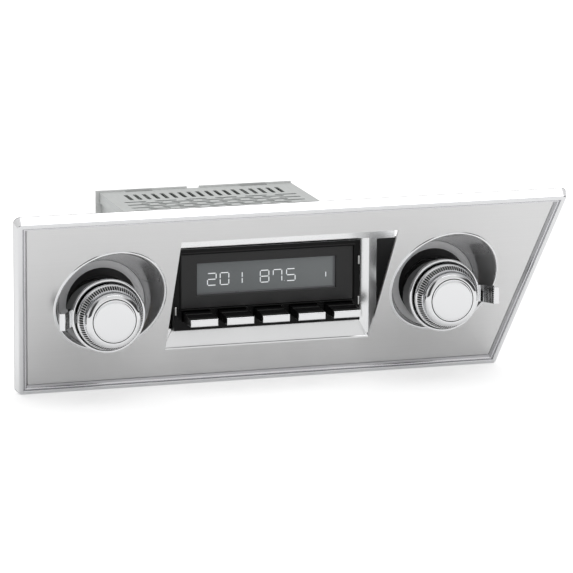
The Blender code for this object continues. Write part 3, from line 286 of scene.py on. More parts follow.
BRUSHED = brushed_lines()
satin_lines = place_group(satin, BRUSHED, Stretch=(30.0, 2500.0, 2500.0))
satin_tone = satin_nodes.new("ShaderNodeValToRGB")
satin_tone.color_ramp.elements[0].color = (0.775, 0.775, 0.775, 1.0)
satin_tone.color_ramp.elements[1].color = (0.825, 0.825, 0.825, 1.0)
satin_links.new(satin_lines.outputs["Line"], satin_tone.inputs["Fac"])
satin_links.new(satin_tone.outputs["Color"], satin_shader.inputs["Base Color"])
satin_marks = place_group(satin, MARKS, Base=0.26, Spread=0.10)
satin_links.new(satin_marks.outputs["Roughness"], satin_shader.inputs["Roughness"])
add_relief(satin, satin_lines.outputs["Line"], 0.06, 0.01 * MM)


def dress(material, *nodes):
    """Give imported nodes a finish."""
    for name in nodes:
        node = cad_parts[name]
        node.data.materials.clear()
        node.data.materials.append(material)


dress(satin, "face_plate")

# Dishes: spun cups round the knobs, chromed, with a satin floor, a collar turned back round the
# hole and a fine rolled lip that lies on the face plate, where the leaning face cuts each cup off.
DISH_RISE = 3.0 * MM
DISH_INSET = 0.8 * MM
DISH_FLOOR = 3.0 * MM
DISH_FLOOR_RADIUS = 24.1 * MM
DISH_HOLE_RADIUS = 19.7 * MM
DISH_COLLAR = 6.0 * MM
DISH_FLARE = 0.295
DISH_WALL = 1.2 * MM
DISH_LIP = 0.8 * MM
DISH_FILLET = 0.8 * MM
DISH_STEPS = 160


def shaft_axis(use):
    """Where a shaft's axis meets the plane of the nosepiece's front face."""
    low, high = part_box(use + "_shaft")
    return Vector(((low.x + high.x) / 2, NOSE_FRONT_Y, (low.z + high.z) / 2))


def dish_axis(use):
    """A dish's axis, a little above its shaft's and nearer the nosepiece."""
    shaft = shaft_axis(use)
    return shaft + Vector((-math.copysign(DISH_INSET, shaft.x), 0.0, DISH_RISE))


def dish_reach(turn, axis, plane):
    """Forward place where the dish's inner wall meets a plane parallel to the bezel."""
    level = (plane + math.sin(LEAN) * (axis.z - NOSE_MIDDLE_Z)) / math.cos(LEAN)
    start = DISH_FLOOR_RADIUS - DISH_FLARE * DISH_FLOOR
    lift = math.tan(LEAN) * math.sin(turn)
    return (level + lift * start) / (1 - lift * DISH_FLARE)


def about(axis, radius, turn, forward):
    """A place round a knob's axis; turn runs anticlockwise from the viewer's right."""
    return axis + Vector((radius * math.cos(turn), -forward, radius * math.sin(turn)))


def dish_section(turn, axis):
    """Points of the dish's skin at one angle, from the hole up the wall and over the lip."""
    face = RIM_STANDOFF - FACE_RECESS
    top = dish_reach(turn, axis, face + DISH_LIP)
    low = dish_reach(turn, axis, face + 0.1 * MM)

    def wall(forward, out=0.0):
        return DISH_FLOOR_RADIUS + DISH_FLARE * (forward - DISH_FLOOR) + out
    points = [(DISH_HOLE_RADIUS + 0.8 * MM, DISH_FLOOR - 1.5 * MM),
              (DISH_HOLE_RADIUS + 0.8 * MM, DISH_FLOOR - DISH_COLLAR),
              (DISH_HOLE_RADIUS, DISH_FLOOR - DISH_COLLAR), (DISH_HOLE_RADIUS, DISH_FLOOR - 0.3 * MM),
              (DISH_HOLE_RADIUS + 0.1 * MM, DISH_FLOOR - 0.1 * MM),
              (DISH_HOLE_RADIUS + 0.3 * MM, DISH_FLOOR), (DISH_FLOOR_RADIUS - DISH_FILLET, DISH_FLOOR)]
    points += [(DISH_FLOOR_RADIUS - DISH_FILLET * 0.35, DISH_FLOOR + DISH_FILLET * 0.15),
               (wall(DISH_FLOOR + DISH_FILLET), DISH_FLOOR + DISH_FILLET)]
    foot = DISH_FLOOR + DISH_FILLET
    for k in range(1, 9):
        forward = foot + max(top - 0.5 * MM - foot, 0.2 * MM) * k / 8
        points.append((wall(forward), forward))
    last = points[-1][1]
    points += [(wall(last, 0.25 * MM), max(top - 0.1 * MM, last)), (wall(last, 0.7 * MM), max(top, last)),
               (wall(last, DISH_WALL), max(top - 0.1 * MM, last)), (wall(low, DISH_WALL + DISH_LIP), low)]
    points += [(wall(low, DISH_WALL), low - 0.4 * MM), (wall(DISH_FLOOR, DISH_WALL), DISH_FLOOR - 1.5 * MM)]
    return points


dish_wall = finish("polished_dish_wall", (0.84, 0.84, 0.85), 0.70, 0.06, 0.08, 0.05)
dish_floor = bpy.data.materials.new("brushed_dish_floor")
dish_floor.use_nodes = True
floor_nodes, floor_links = dish_floor.node_tree.nodes, dish_floor.node_tree.links
floor_shader = floor_nodes["Principled BSDF"]
floor_shader.inputs["Metallic"].default_value = 0.10
floor_shader.inputs["Base Color"].default_value = (0.93, 0.93, 0.94, 1.0)
floor_lines = place_group(dish_floor, BRUSHED, Stretch=(900.0, 900.0, 900.0))
floor_rough = floor_nodes.new("ShaderNodeMapRange")
floor_rough.inputs["To Min"].default_value = 0.38
floor_rough.inputs["To Max"].default_value = 0.48
floor_links.new(floor_lines.outputs["Line"], floor_rough.inputs["Value"])
floor_links.new(floor_rough.outputs["Result"], floor_shader.inputs["Roughness"])
add_relief(dish_floor, floor_lines.outputs["Line"], 0.10, 0.02 * MM)

for side, use in (("left", "volume"), ("right", "tuner")):
    axis = dish_axis(use)
    turns = [2 * math.pi * i / DISH_STEPS for i in range(DISH_STEPS)]
    sections = [dish_section(turn, axis) for turn in turns]
    loops = [[about(axis, *(section[k][0], turn, section[k][1])) for turn, section in zip(turns, sections)]
             for k in range(len(sections[0]))]
    dish = piece_from(side + "_spun_dish", loft(loops), chrome, 50.0)
    dish.data.materials.append(dish_floor)
    dish.data.materials.append(dish_wall)
    for face in dish.data.polygons:
        reach = (Vector((face.center.x, 0.0, face.center.z)) - Vector((axis.x, 0.0, axis.z))).length
        flat = abs(face.center.y - (axis.y - DISH_FLOOR)) < 0.1 * MM
        if flat and reach < DISH_FLOOR_RADIUS - DISH_FILLET * 0.6:
            face.material_index = 1
        elif reach < DISH_FLOOR_RADIUS + DISH_FLARE * (axis.y - DISH_FLOOR - face.center.y) + 0.1 * MM:
            face.material_index = 2
    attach(dish, "radio")
    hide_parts(side + "_dish")

# Knobs: turned brass, chromed. A smooth band runs round the back, then a fine coin edge on the
# shoulder, then a dome, and a slightly crowned cap is pressed into the front.
KNOB_TEETH = 80
TOOTH_DEPTH = 0.6 * MM
TEETH_START = 25.6 * MM
TEETH_BACK = 25.52 * MM
TEETH_FRONT = 28.58 * MM
TEETH_RADIUS = 17.4 * MM
TEETH_TAPER = 0.534
CAP_GROOVE = 12.09 * MM
CAP_SEAT = 33.0 * MM
# The tooth gaps and the cap's seat are painted near-black: painted shade in the hollows of the chromed knob.
shaded_gap = finish("painted_gap_shade", (0.02, 0.02, 0.021), 0.3, 0.45, 0.10, 0.05, 0.2)
# The tooth tops are a pale, less metallic copy of the chrome: a painted highlight.
lit_tooth_top = finish("painted_tooth_highlight", (0.88, 0.88, 0.89), 0.30, 0.28, 0.10, 0.05)


def turned(name, profile, axis, material, steps=128, tooth=(0.0,), sharp=35.0):
    """Revolve (radius, forward, tooth share) points about a knob's axis."""
    loops = []
    for radius, forward, share in profile:
        loops.append([about(axis, max(radius - TOOTH_DEPTH * share * tooth[i % len(tooth)], 0.0),
                            2 * math.pi * i / steps, forward) for i in range(steps)])
    shape = loft(loops, "open")
    bmesh.ops.remove_doubles(shape, verts=shape.verts, dist=1e-7)
    return piece_from(name, shape, material, sharp)


def plain(points):
    """Section points in millimetres, with no teeth."""
    return [(radius * MM, forward * MM, 0) for radius, forward in points]


for use in ("volume", "tuner"):
    axis = shaft_axis(use)
    profile = plain([(3.4, 22.9), (17.8, 22.9), (18.1, 23.0), (18.2, 23.25), (18.15, 23.5), (17.95, 23.95),
                     (17.65, 24.3), (17.35, 24.5), (17.2, 24.55), (17.15, 25.3)])
    profile += [(17.5 * MM, 25.5 * MM, 0), (17.45 * MM, TEETH_START, 1), (15.9 * MM, 28.5 * MM, 1),
                (15.85 * MM, 28.6 * MM, 0)]
    profile += plain([(15.6, 28.85), (15.5, 28.8), (15.4, 28.5), (15.2, 28.7)])
    profile += [(radius, forward, 0) for radius, forward
                in arc((11.9 * MM, 30.6 * MM), 3.5 * MM, -10.0, 80.0, 12)]
    profile += plain([(12.1, 34.0), (12.05, 33.6), (0.0, 33.6)])
    knob = turned(use + "_chromed_knob", profile, axis, chrome, KNOB_TEETH * 6, (1, 1, 1, 0, 0, 0), 40.0)
    knob.data.materials.append(shaded_gap)
    knob.data.materials.append(lit_tooth_top)
    # Faces down in the tooth gaps and in the cap's seat get the painted shade, and the tooth tops get the
    # painted highlight.
    for face in knob.data.polygons:
        place = face.center - axis
        radius, forward = math.hypot(place.x, place.z), -place.y
        root = TEETH_RADIUS - (forward - TEETH_START) * TEETH_TAPER - TOOTH_DEPTH * 0.4
        if TEETH_BACK < forward < TEETH_FRONT:
            face.material_index = 1 if radius < root else 2
        elif radius < CAP_GROOVE and forward > CAP_SEAT:
            face.material_index = 1
    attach(knob, use + "_rotor")
    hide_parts(use + "_knob")
    cap_profile = plain([(0.0, 33.7), (11.6, 33.7), (11.65, 34.2), (11.5, 34.42), (11.2, 34.45),
                         (11.0, 34.4)])
    cap_profile += [(11.0 * MM * math.cos(t), (34.4 + 0.5 * math.sin(t)) * MM, 0)
                    for t in [math.pi / 2 * k / 12 for k in range(1, 13)]]
    cap = turned(use + "_crowned_cap", cap_profile, axis, chrome)
    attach(cap, use + "_rotor")
    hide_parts(use + "_knob_cap")

# Tab rings: chromed rings behind the knobs, each with a bright bead and one ribbed tab turned
# forward for a finger. They sit on glossy black moulded skirts that turn with them.
black_gloss = finish("black_gloss_moulding", (0.006, 0.006, 0.0065), 0.0, 0.03, 0.05, 0.02, 0.5)
RING_BACK = 18.5 * MM
RING_RADIUS = 20.4 * MM
TAB_TIP = 3.0 * MM
TAB_TIP_THICK = 2.2 * MM
TAB_WIDTH = 9.3 * MM
TAB_FRONT = 29.2 * MM
TAB_ARM = 20.9 * MM
TAB_RIBS = 6
RIB_DEPTH = 0.4 * MM
SHADE_INSIDE = 18.4 * MM


def round_edges(piece, width, angle=30.0):
    """Round off the edges of a piece that turn by more than an angle in degrees."""
    edges = piece.modifiers.new("edges", "BEVEL")
    edges.width = width
    edges.segments = 2
    edges.limit_method = "ANGLE"
    edges.angle_limit = math.radians(angle)


for way, use in ((-1, "volume"), (1, "tuner")):
    axis = shaft_axis(use)
    profile = plain([(15.0, 18.5), (19.8, 18.5), (20.1, 18.8), (20.1, 19.6)])
    profile += [(radius, forward, 0) for radius, forward
                in arc((19.4 * MM, 20.55 * MM), 1.0 * MM, -45.0, 170.0, 14)]
    profile += plain([(18.2, 20.1), (15.2, 20.1), (15.0, 19.9), (15.0, 18.5)])
    ring = turned(use + "_beaded_ring", profile, axis, chrome)
    ring.data.materials.append(black_gloss)
    # Faces of the chromed ring inside SHADE_INSIDE, in the recess behind the knob, take the black gloss:
    # painted shade.
    for face in ring.data.polygons:
        place = face.center - axis
        if math.hypot(place.x, place.z) < SHADE_INSIDE:
            face.material_index = 1
    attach(ring, use + "_ring")
    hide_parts(use + "_tab_ring")

    ring_low, ring_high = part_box(use + "_tab_ring")
    reach = max(ring_high.x - axis.x, axis.x - ring_low.x)
    outline = [(18.0 * MM, RING_BACK), (RING_RADIUS + TAB_TIP, RING_BACK), (reach, TAB_FRONT - TAB_TIP_THICK),
               (reach, TAB_FRONT), (reach - TAB_TIP, TAB_FRONT)]
    top, foot = Vector((reach - TAB_TIP, TAB_FRONT)), Vector((RING_RADIUS, TAB_ARM))
    sink = Vector((foot.y - top.y, top.x - foot.x)).normalized() * -RIB_DEPTH
    for rib in range(TAB_RIBS):
        for share, depth in ((0.10, 0), (0.115, 1), (0.165, 1), (0.18, 0)):
            outline.append(tuple(top.lerp(foot, share + rib * 0.10) + sink * depth))
    outline += [(RING_RADIUS, TAB_ARM), (18.0 * MM, TAB_ARM)]
    loops = [[axis + Vector((way * r, -f, up)) for r, f in outline] for up in (-TAB_WIDTH / 2, TAB_WIDTH / 2)]
    tab = piece_from(use + "_ribbed_tab", loft(loops, "capped"), chrome, 30.0)
    tab.data.materials.append(black_gloss)
    for face in tab.data.polygons:
        place = Vector((abs(face.center.x - axis.x), axis.y - face.center.y))
        sunk = (place - top).dot(sink) / RIB_DEPTH > 0.1 * MM
        if RING_RADIUS < place.x < reach - TAB_TIP + RIB_DEPTH and abs(face.normal.z) < 0.1 and sunk:
            face.material_index = 1 if face.normal.y < 0.6 else 0
    round_edges(tab, 0.12 * MM)
    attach(tab, use + "_ring")

    skirt_profile = plain([(4.4, 18.2), (18.7, 18.2), (19.1, 17.8), (19.1, 4.0), (18.9, 3.8), (17.8, 3.8),
                           (17.7, 15.0), (4.4, 15.2)])
    skirt = turned(use + "_black_skirt", skirt_profile, axis, black_gloss)
    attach(skirt, use + "_ring")
    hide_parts(use + "_ring_skirt")

# Trim plate: chromed brass sheet pressed round the nosepiece, with bevelled sides, a sloped sill
# and two ears. Its edges are rounded a little by the polishing.
def softened(name, node, material, width):
    """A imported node's own shape with its edges rounded off."""
    shape = bmesh.new()
    shape.from_mesh(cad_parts[node].data)
    bmesh.ops.remove_doubles(shape, verts=shape.verts, dist=1e-6)
    bmesh.ops.dissolve_limit(shape, angle_limit=math.radians(1.0), verts=shape.verts, edges=shape.edges)
    piece = piece_from(name, shape, material, 25.0)
    round_edges(piece, width, 12.0)
    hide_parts(node)
    return piece


satin_chrome = finish("satin_chrome", (0.90, 0.905, 0.91), 1.0, 0.16, 0.12, 0.05)
trim = softened("pressed_trim_plate", "trim_plate", satin_chrome, 0.2 * MM)
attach(trim, "radio")
LIP_HALF = 58.2 * MM
lip_section = [(-32.5, 0.3), (-31.72, 0.11), (-31.66, 0.02), (-31.68, -0.1), (-31.8, -0.2), (-32.3, 0.0)]
lip_ends = [[front_view(x, up * MM, forward * MM) for up, forward in lip_section]
            for x in (-LIP_HALF, LIP_HALF)]
lip = piece_from("turned_sill_lip", loft(lip_ends, "capped"), satin_chrome, 40.0)
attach(lip, "radio")

# Nosepiece: the radio's own front, moulded in black plastic with a fine texture and pushed through
# the trim plate from behind. A thin raised frame is moulded round the lens opening.
black_satin = finish("black_satin_moulding", (0.004, 0.004, 0.0042), 0.0, 0.24, 0.12, 0.25, 0.16)
nose = softened("moulded_nosepiece", "nose_housing", black_satin, 0.2 * MM)
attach(nose, "radio")
lens_low, lens_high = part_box("display_lens")
FRAME_WIDTH = 1.1 * MM
FRAME_PROUD = 0.35 * MM


def rectangle(low_x, high_x, low_z, high_z, y):
    """An upright rectangle that faces the viewer."""
    return [Vector((low_x, y, low_z)), Vector((high_x, y, low_z)),
            Vector((high_x, y, high_z)), Vector((low_x, y, high_z))]


def around_box(low, high, grow, y):
    """A box's outline from the front, moved out by grow, at a depth."""
    return rectangle(low.x - grow, high.x + grow, low.z - grow, high.z + grow, y)


def around_lens(grow, y):
    return around_box(lens_low, lens_high, grow, y)


surround = piece_from("lens_surround", loft([
    around_lens(0.2 * MM, NOSE_FRONT_Y + 0.4 * MM), around_lens(0.2 * MM, NOSE_FRONT_Y - FRAME_PROUD * 0.6),
    around_lens(0.4 * MM, NOSE_FRONT_Y - FRAME_PROUD),
    around_lens(FRAME_WIDTH - 0.3 * MM, NOSE_FRONT_Y - FRAME_PROUD),
    around_lens(FRAME_WIDTH, NOSE_FRONT_Y - 0.02 * MM), around_lens(FRAME_WIDTH, NOSE_FRONT_Y + 0.4 * MM)]),
    black_satin, 20.0)
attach(surround, "radio")

# Display: a smoked panel with a clear window, and behind the window the segment glass under a grey
# polarising film that ends short of the glass at the right and below, where the darker glass shows as
# painted shade along the window's inner edges. The numbers are plain ones.
lcd_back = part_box("lcd_panel")[1].y
WINDOW_LEFT = -40.0 * MM
WINDOW_RIGHT = 39.2 * MM
WINDOW_LOW = -3.5 * MM
WINDOW_HIGH = 14.3 * MM
PANEL_DEPTH = 1.2 * MM
smoked = finish("smoked_panel", (0.018, 0.018, 0.0184), 0.0, 0.30, 0.10, 0.02, 0.40)


def around_window(grow, y):
    return rectangle(WINDOW_LEFT - grow, WINDOW_RIGHT + grow, NOSE_MIDDLE_Z + WINDOW_LOW - grow,
                     NOSE_MIDDLE_Z + WINDOW_HIGH + grow, y)


panel = piece_from("smoked_panel", loft([
    around_lens(0.0, lens_high.y), around_lens(0.0, lens_low.y + 0.15 * MM),
    around_lens(-0.15 * MM, lens_low.y),
    around_window(0.2 * MM, lens_low.y), around_window(0.0, lens_low.y + 0.2 * MM),
    around_window(0.0, lens_high.y)]), smoked, 20.0)
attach(panel, "radio")
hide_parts("display_lens")

glass = bpy.data.materials.new("filmed_display_glass")
glass.use_nodes = True
glass_nodes, glass_links = glass.node_tree.nodes, glass.node_tree.links
glass_shader = glass_nodes["Principled BSDF"]
glass_shader.inputs["Roughness"].default_value = 0.22
glass_place = glass_nodes.new("ShaderNodeTexCoord")
glass_split = glass_nodes.new("ShaderNodeSeparateXYZ")
glass_links.new(glass_place.outputs["Object"], glass_split.inputs["Vector"])
# The film is painted lighter from left to right across the window: a painted sheen, with a faint random cloud
# in its tone.
glass_sheen_across = glass_nodes.new("ShaderNodeMapRange")
glass_sheen_across.inputs["From Min"].default_value = WINDOW_LEFT
glass_sheen_across.inputs["From Max"].default_value = WINDOW_RIGHT
glass_links.new(glass_split.outputs["X"], glass_sheen_across.inputs["Value"])
glass_cloud = glass_nodes.new("ShaderNodeTexNoise")
glass_cloud.inputs["Scale"].default_value = 45.0
glass_links.new(glass_place.outputs["Object"], glass_cloud.inputs["Vector"])
glass_mix = glass_nodes.new("ShaderNodeMath")
glass_mix.operation = "MULTIPLY_ADD"
glass_mix.inputs[1].default_value = 0.25
glass_links.new(glass_cloud.outputs["Fac"], glass_mix.inputs[0])
glass_links.new(glass_sheen_across.outputs["Result"], glass_mix.inputs[2])
glass_tone = glass_nodes.new("ShaderNodeValToRGB")
glass_tone.color_ramp.elements[0].color = (0.156, 0.170, 0.176, 1.0)
glass_tone.color_ramp.elements[1].color = (0.212, 0.228, 0.232, 1.0)
glass_links.new(glass_mix.outputs["Value"], glass_tone.inputs["Fac"])
glass_links.new(glass_tone.outputs["Color"], glass_shader.inputs["Base Color"])
LCD_FACE_Y = lens_low.y + PANEL_DEPTH
lcd_shape = loft([around_window(0.4 * MM, lcd_back), around_window(0.4 * MM, LCD_FACE_Y),
                  around_window(-0.2 * MM, LCD_FACE_Y - 0.02 * MM)], "capped")
# The segment glass is darker than the film, so where the film stops short it shows as painted shade.
band_shade_glass = finish("painted_shade_glass", (0.130, 0.134, 0.142), 0.0, 0.24, 0.10, 0.02)
lcd = piece_from("segment_glass", lcd_shape, band_shade_glass, 20.0)
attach(lcd, "radio")
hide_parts("lcd_panel")
FILM_FACE_Y = LCD_FACE_Y - 0.10 * MM
# Widths of the darker glass bands at the right and below: painted shade along the window's inner edges.
SHADE_BAND_RIGHT = 1.5 * MM
SHADE_BAND_LOW = 1.1 * MM


def around_film(shrink, y):
    return rectangle(WINDOW_LEFT + shrink, WINDOW_RIGHT - SHADE_BAND_RIGHT - shrink,
                     NOSE_MIDDLE_Z + WINDOW_LOW + SHADE_BAND_LOW + shrink,
                     NOSE_MIDDLE_Z + WINDOW_HIGH - shrink, y)


film_shape = loft([around_film(0.01 * MM, LCD_FACE_Y), around_film(0.01 * MM, FILM_FACE_Y + 0.04 * MM),
                   around_film(0.05 * MM, FILM_FACE_Y)], "capped")
film = piece_from("polarising_film", film_shape, glass, 20.0)
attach(film, "radio")

segments = finish("pale_segments", (0.82, 0.84, 0.85), 0.0, 0.35, 0.1, 0.0)
segment_shader = segments.node_tree.nodes["Principled BSDF"]
segment_shader.inputs["Emission Color"].default_value = (0.95, 0.98, 1.0, 1.0)
segment_shader.inputs["Emission Strength"].default_value = 0.35
SEGMENT = 0.52 * MM
DIGIT_LOW = 1.6 * MM
DIGIT_WIDTH = 4.9 * MM
DIGIT_HEIGHT = 6.6 * MM
# The seven bars in turn: top, upper right, lower right, bottom, lower left, upper left, middle
LIT = {"0": "1111110", "1": "0110000", "2": "1101101", "5": "1011011", "7": "1110010", "8": "1111111"}
digit_shape = bmesh.new()


def bar(start, end):
    """One pointed segment between two corners of a digit."""
    start, end = Vector(start), Vector(end)
    along = (end - start).normalized() * SEGMENT / 2
    across = Vector((-along.y, along.x))
    start, end = start + along * 0.9, end - along * 0.9
    corners = [start, start + along + across, end - along + across, end,
               end - along - across, start + along - across]
    rings = []
    for y in (FILM_FACE_Y, FILM_FACE_Y - 0.06 * MM):
        rings.append([digit_shape.verts.new((p.x, y, NOSE_MIDDLE_Z + p.y)) for p in corners])
    digit_shape.faces.new(rings[1])
    for i in range(6):
        digit_shape.faces.new((rings[0][i - 1], rings[0][i], rings[1][i], rings[1][i - 1]))


def digit(mark, left):
    """One number made of its lit bars."""
    right, middle, high = left + DIGIT_WIDTH, DIGIT_LOW + DIGIT_HEIGHT / 2, DIGIT_LOW + DIGIT_HEIGHT
    corners = {"a": (left, high), "b": (right, high), "c": (right, middle), "d": (right, DIGIT_LOW),
               "e": (left, DIGIT_LOW), "f": (left, middle)}
    ways = ("ab", "bc", "cd", "de", "ef", "fa", "fc")
    for lit, way in zip(LIT[mark], ways):
        if lit == "1":
            bar(corners[way[0]], corners[way[1]])


for mark, left in (("2", -33.8), ("0", -26.6), ("1", -19.0), ("8", -3.8), ("7", 3.6), ("5", 11.2)):
    digit(mark, left * MM)
bar((33.7 * MM, 2.3 * MM), (33.7 * MM, 5.7 * MM))
bar((10.0 * MM, 1.3 * MM), (10.0 * MM, 2.2 * MM))
numbers = piece_from("display_numbers", digit_shape, segments)
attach(numbers, "radio")

# Side clips: four tongues of bright spring steel, let into the nosepiece's front near its sides.
# They snap past the trim plate's edge and hold the nosepiece in it.
bright_steel = finish("bright_steel", (0.62, 0.62, 0.61), 1.0, 0.22, 0.18, 0.2)
CLIP_OUT = 52.2 * MM
CLIP_HALF = 0.45 * MM
CLIP_PROUD = 0.35 * MM
for way, side in ((-1, "left"), (1, "right")):
    for level, low, high in (("upper", 8.95, 13.6), ("lower", -13.7, -9.2)):
        loops = []
        for inset, proud in ((0.0, -0.3 * MM), (0.0, CLIP_PROUD * 0.5), (0.15 * MM, CLIP_PROUD)):
            loops.append(rectangle(
                way * CLIP_OUT - CLIP_HALF + inset, way * CLIP_OUT + CLIP_HALF - inset,
                NOSE_MIDDLE_Z + low * MM + inset, NOSE_MIDDLE_Z + high * MM - inset, NOSE_FRONT_Y - proud))
        shape = loft(loops, "capped")
        clip = piece_from(f"{side}_{level}_clip", shape, bright_steel, 20.0)
        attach(clip, "radio")

# Preset keys: five moulded black keys with stepped tops, which slide in the nosepiece's slots and
# spring back on the rubber strip behind it. A bright chromed bar is pressed on to each key's front.
KEY_TOP = NOSE_MIDDLE_Z - 12.1 * MM
KEY_UNDER = NOSE_MIDDLE_Z - 17.1 * MM
KEY_STEP = 0.5 * MM
KEY_STEP_Y = NOSE_FRONT_Y - 6.0 * MM
KEY_STEM_BACK = NOSE_FRONT_Y + 2.6 * MM
for number in range(1, 6):
    low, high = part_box(f"preset_bar_{number}")
    key_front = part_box(f"preset_button_{number}")[0].y
    middle = (low.x + high.x) / 2
    half = (high.x - low.x) / 2
    outline = [(KEY_UNDER, KEY_STEM_BACK), (KEY_UNDER, key_front + 0.4 * MM),
               (KEY_UNDER + 0.4 * MM, key_front), (KEY_TOP - 1.0 * MM, key_front),
               (KEY_TOP - KEY_STEP, key_front + 0.6 * MM), (KEY_TOP - KEY_STEP, KEY_STEP_Y),
               (KEY_TOP, KEY_STEP_Y + 0.6 * MM), (KEY_TOP, KEY_STEM_BACK)]
    loops = [[Vector((middle + x, y, z)) for z, y in outline] for x in (-half, half)]
    key = piece_from(f"preset_key_{number}", loft(loops, "capped"), black_satin, 20.0)
    round_edges(key, 0.25 * MM)
    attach(key, f"preset_{number}")
    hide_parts(f"preset_button_{number}")

    shape = loft([around_box(low, high, -inset, y) for inset, y in (
        (0.1 * MM, high.y), (0.0, high.y - 0.1 * MM), (0.0, low.y + 0.5 * MM),
        (0.15 * MM, low.y + 0.2 * MM), (0.5 * MM, low.y))], "capped")
    bright = piece_from(f"preset_bright_bar_{number}", shape, chrome, 20.0)
    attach(bright, f"preset_{number}")
    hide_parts(f"preset_bar_{number}")

# Chassis: a tray and a slotted lid of zinc-plated steel sheet with a light rolled grain, punched and
# folded. A paler punched panel closes the back.
zinc = bpy.data.materials.new("zinc_plated_sheet")
zinc.use_nodes = True
zinc_nodes, zinc_links = zinc.node_tree.nodes, zinc.node_tree.links
zinc_shader = zinc_nodes["Principled BSDF"]
zinc_shader.inputs["Metallic"].default_value = 0.6
zinc_lines = place_group(zinc, BRUSHED, Stretch=(900.0, 60.0, 900.0))
zinc_tone = zinc_nodes.new("ShaderNodeValToRGB")
zinc_tone.color_ramp.elements[0].color = (0.60, 0.62, 0.61, 1.0)
zinc_tone.color_ramp.elements[1].color = (0.74, 0.76, 0.75, 1.0)
zinc_links.new(zinc_lines.outputs["Line"], zinc_tone.inputs["Fac"])
zinc_links.new(zinc_tone.outputs["Color"], zinc_shader.inputs["Base Color"])
zinc_marks = place_group(zinc, MARKS, Base=0.34, Spread=0.16)
zinc_links.new(zinc_marks.outputs["Roughness"], zinc_shader.inputs["Roughness"])
for name, node in (("folded_tray", "chassis_tray"), ("slotted_lid", "chassis_lid")):
    sheet = softened(name, node, zinc, 0.12 * MM)
    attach(sheet, "radio")
pale_zinc = finish("pale_zinc", (0.88, 0.89, 0.88), 0.10, 0.36, 0.15, 0.2)
back = softened("punched_rear_panel", "rear_panel", pale_zinc, 0.12 * MM)
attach(back, "radio")

# Rear panel screws: zinc-plated hexagon screws with the washer in one, driven from behind through
# the rear panel's corners into the tray.
def washer_screw(name, seat, washer, thread, length, head):
    """A hexagon washer-head screw; the washer lies at seat and the head points to the rear."""
    loops = []
    for radius, forward, cornered in (
            (thread * 0.6, length, 0), (thread, length - thread * 0.5, 0), (thread, 0.0, 0), (washer, 0.0, 0),
            (washer, -head * 0.15, 0), (washer * 0.93, -head * 0.3, 0), (washer * 0.76, -head * 0.32, 1),
            (washer * 0.76, -head * 0.82, 1), (washer * 0.62, -head, 0), (washer * 0.35, -head * 0.9, 0)):
        turns = [math.pi / 12 * i for i in range(24)]
        flat = [math.cos(math.pi / 6) / math.cos(t % (math.pi / 3) - math.pi / 6) if cornered else 1.0
                for t in turns]
        loops.append([about(seat, radius * share, t, forward) for t, share in zip(turns, flat)])
    return piece_from(name, loft(loops, "capped"), bright_steel, 25.0)


PANEL_WASHER = 2.9 * MM
PANEL_THREAD = 1.4 * MM
PANEL_SCREW_LENGTH = 4.8 * MM
PANEL_SCREW_HEAD = 2.4 * MM
panel_low, panel_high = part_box("rear_panel")
for level, z in (("lower", panel_low.z + 4.6 * MM), ("upper", panel_high.z - 5.0 * MM)):
    for side, x in (("left", panel_low.x + 8.5 * MM), ("right", panel_high.x - 6.5 * MM)):
        screw = washer_screw(f"{level}_{side}_panel_screw", Vector((x, panel_high.y, z)), PANEL_WASHER,
                             PANEL_THREAD, PANEL_SCREW_LENGTH, PANEL_SCREW_HEAD)
        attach(screw, "radio")

# Antenna socket: a turned steel barrel with a rolled lip, flanged inside the rear panel, round a
# white moulded insulator and a brass contact tube.
antenna_low, antenna_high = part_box("antenna_socket")
antenna_axis = (antenna_low + antenna_high) / 2
antenna_axis.y = panel_high.y
white_insulator = finish("white_insulator", (0.74, 0.73, 0.70), 0.0, 0.42, 0.12, 0.1)
yellow_brass = finish("turned_brass", (0.72, 0.53, 0.22), 1.0, 0.18, 0.16, 0.2)
barrel = turned("antenna_barrel", plain([
    (4.2, 2.8), (8.4, 2.8), (8.4, 1.6), (6.4, 1.6), (6.4, -7.4), (6.6, -7.8), (6.5, -8.5), (6.1, -8.9),
    (4.7, -8.9), (4.3, -8.6), (4.2, -8.0), (4.2, 2.8)]), antenna_axis, bright_steel, 48)
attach(barrel, "radio")
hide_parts("antenna_socket")
insulator = turned("antenna_insulator", plain([
    (1.3, 2.5), (4.2, 2.5), (4.2, -4.0), (3.9, -4.3), (2.0, -4.3), (1.8, -4.9), (1.3, -4.9), (1.3, 2.5)]),
    antenna_axis, white_insulator, 32)
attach(insulator, "radio")
contact = turned("antenna_contact", plain([
    (0.8, 3.2), (1.3, 3.2), (1.3, -5.4), (1.1, -5.7), (0.9, -5.7), (0.8, -5.4), (0.8, 3.2)]),
    antenna_axis, yellow_brass, 24)
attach(contact, "radio")

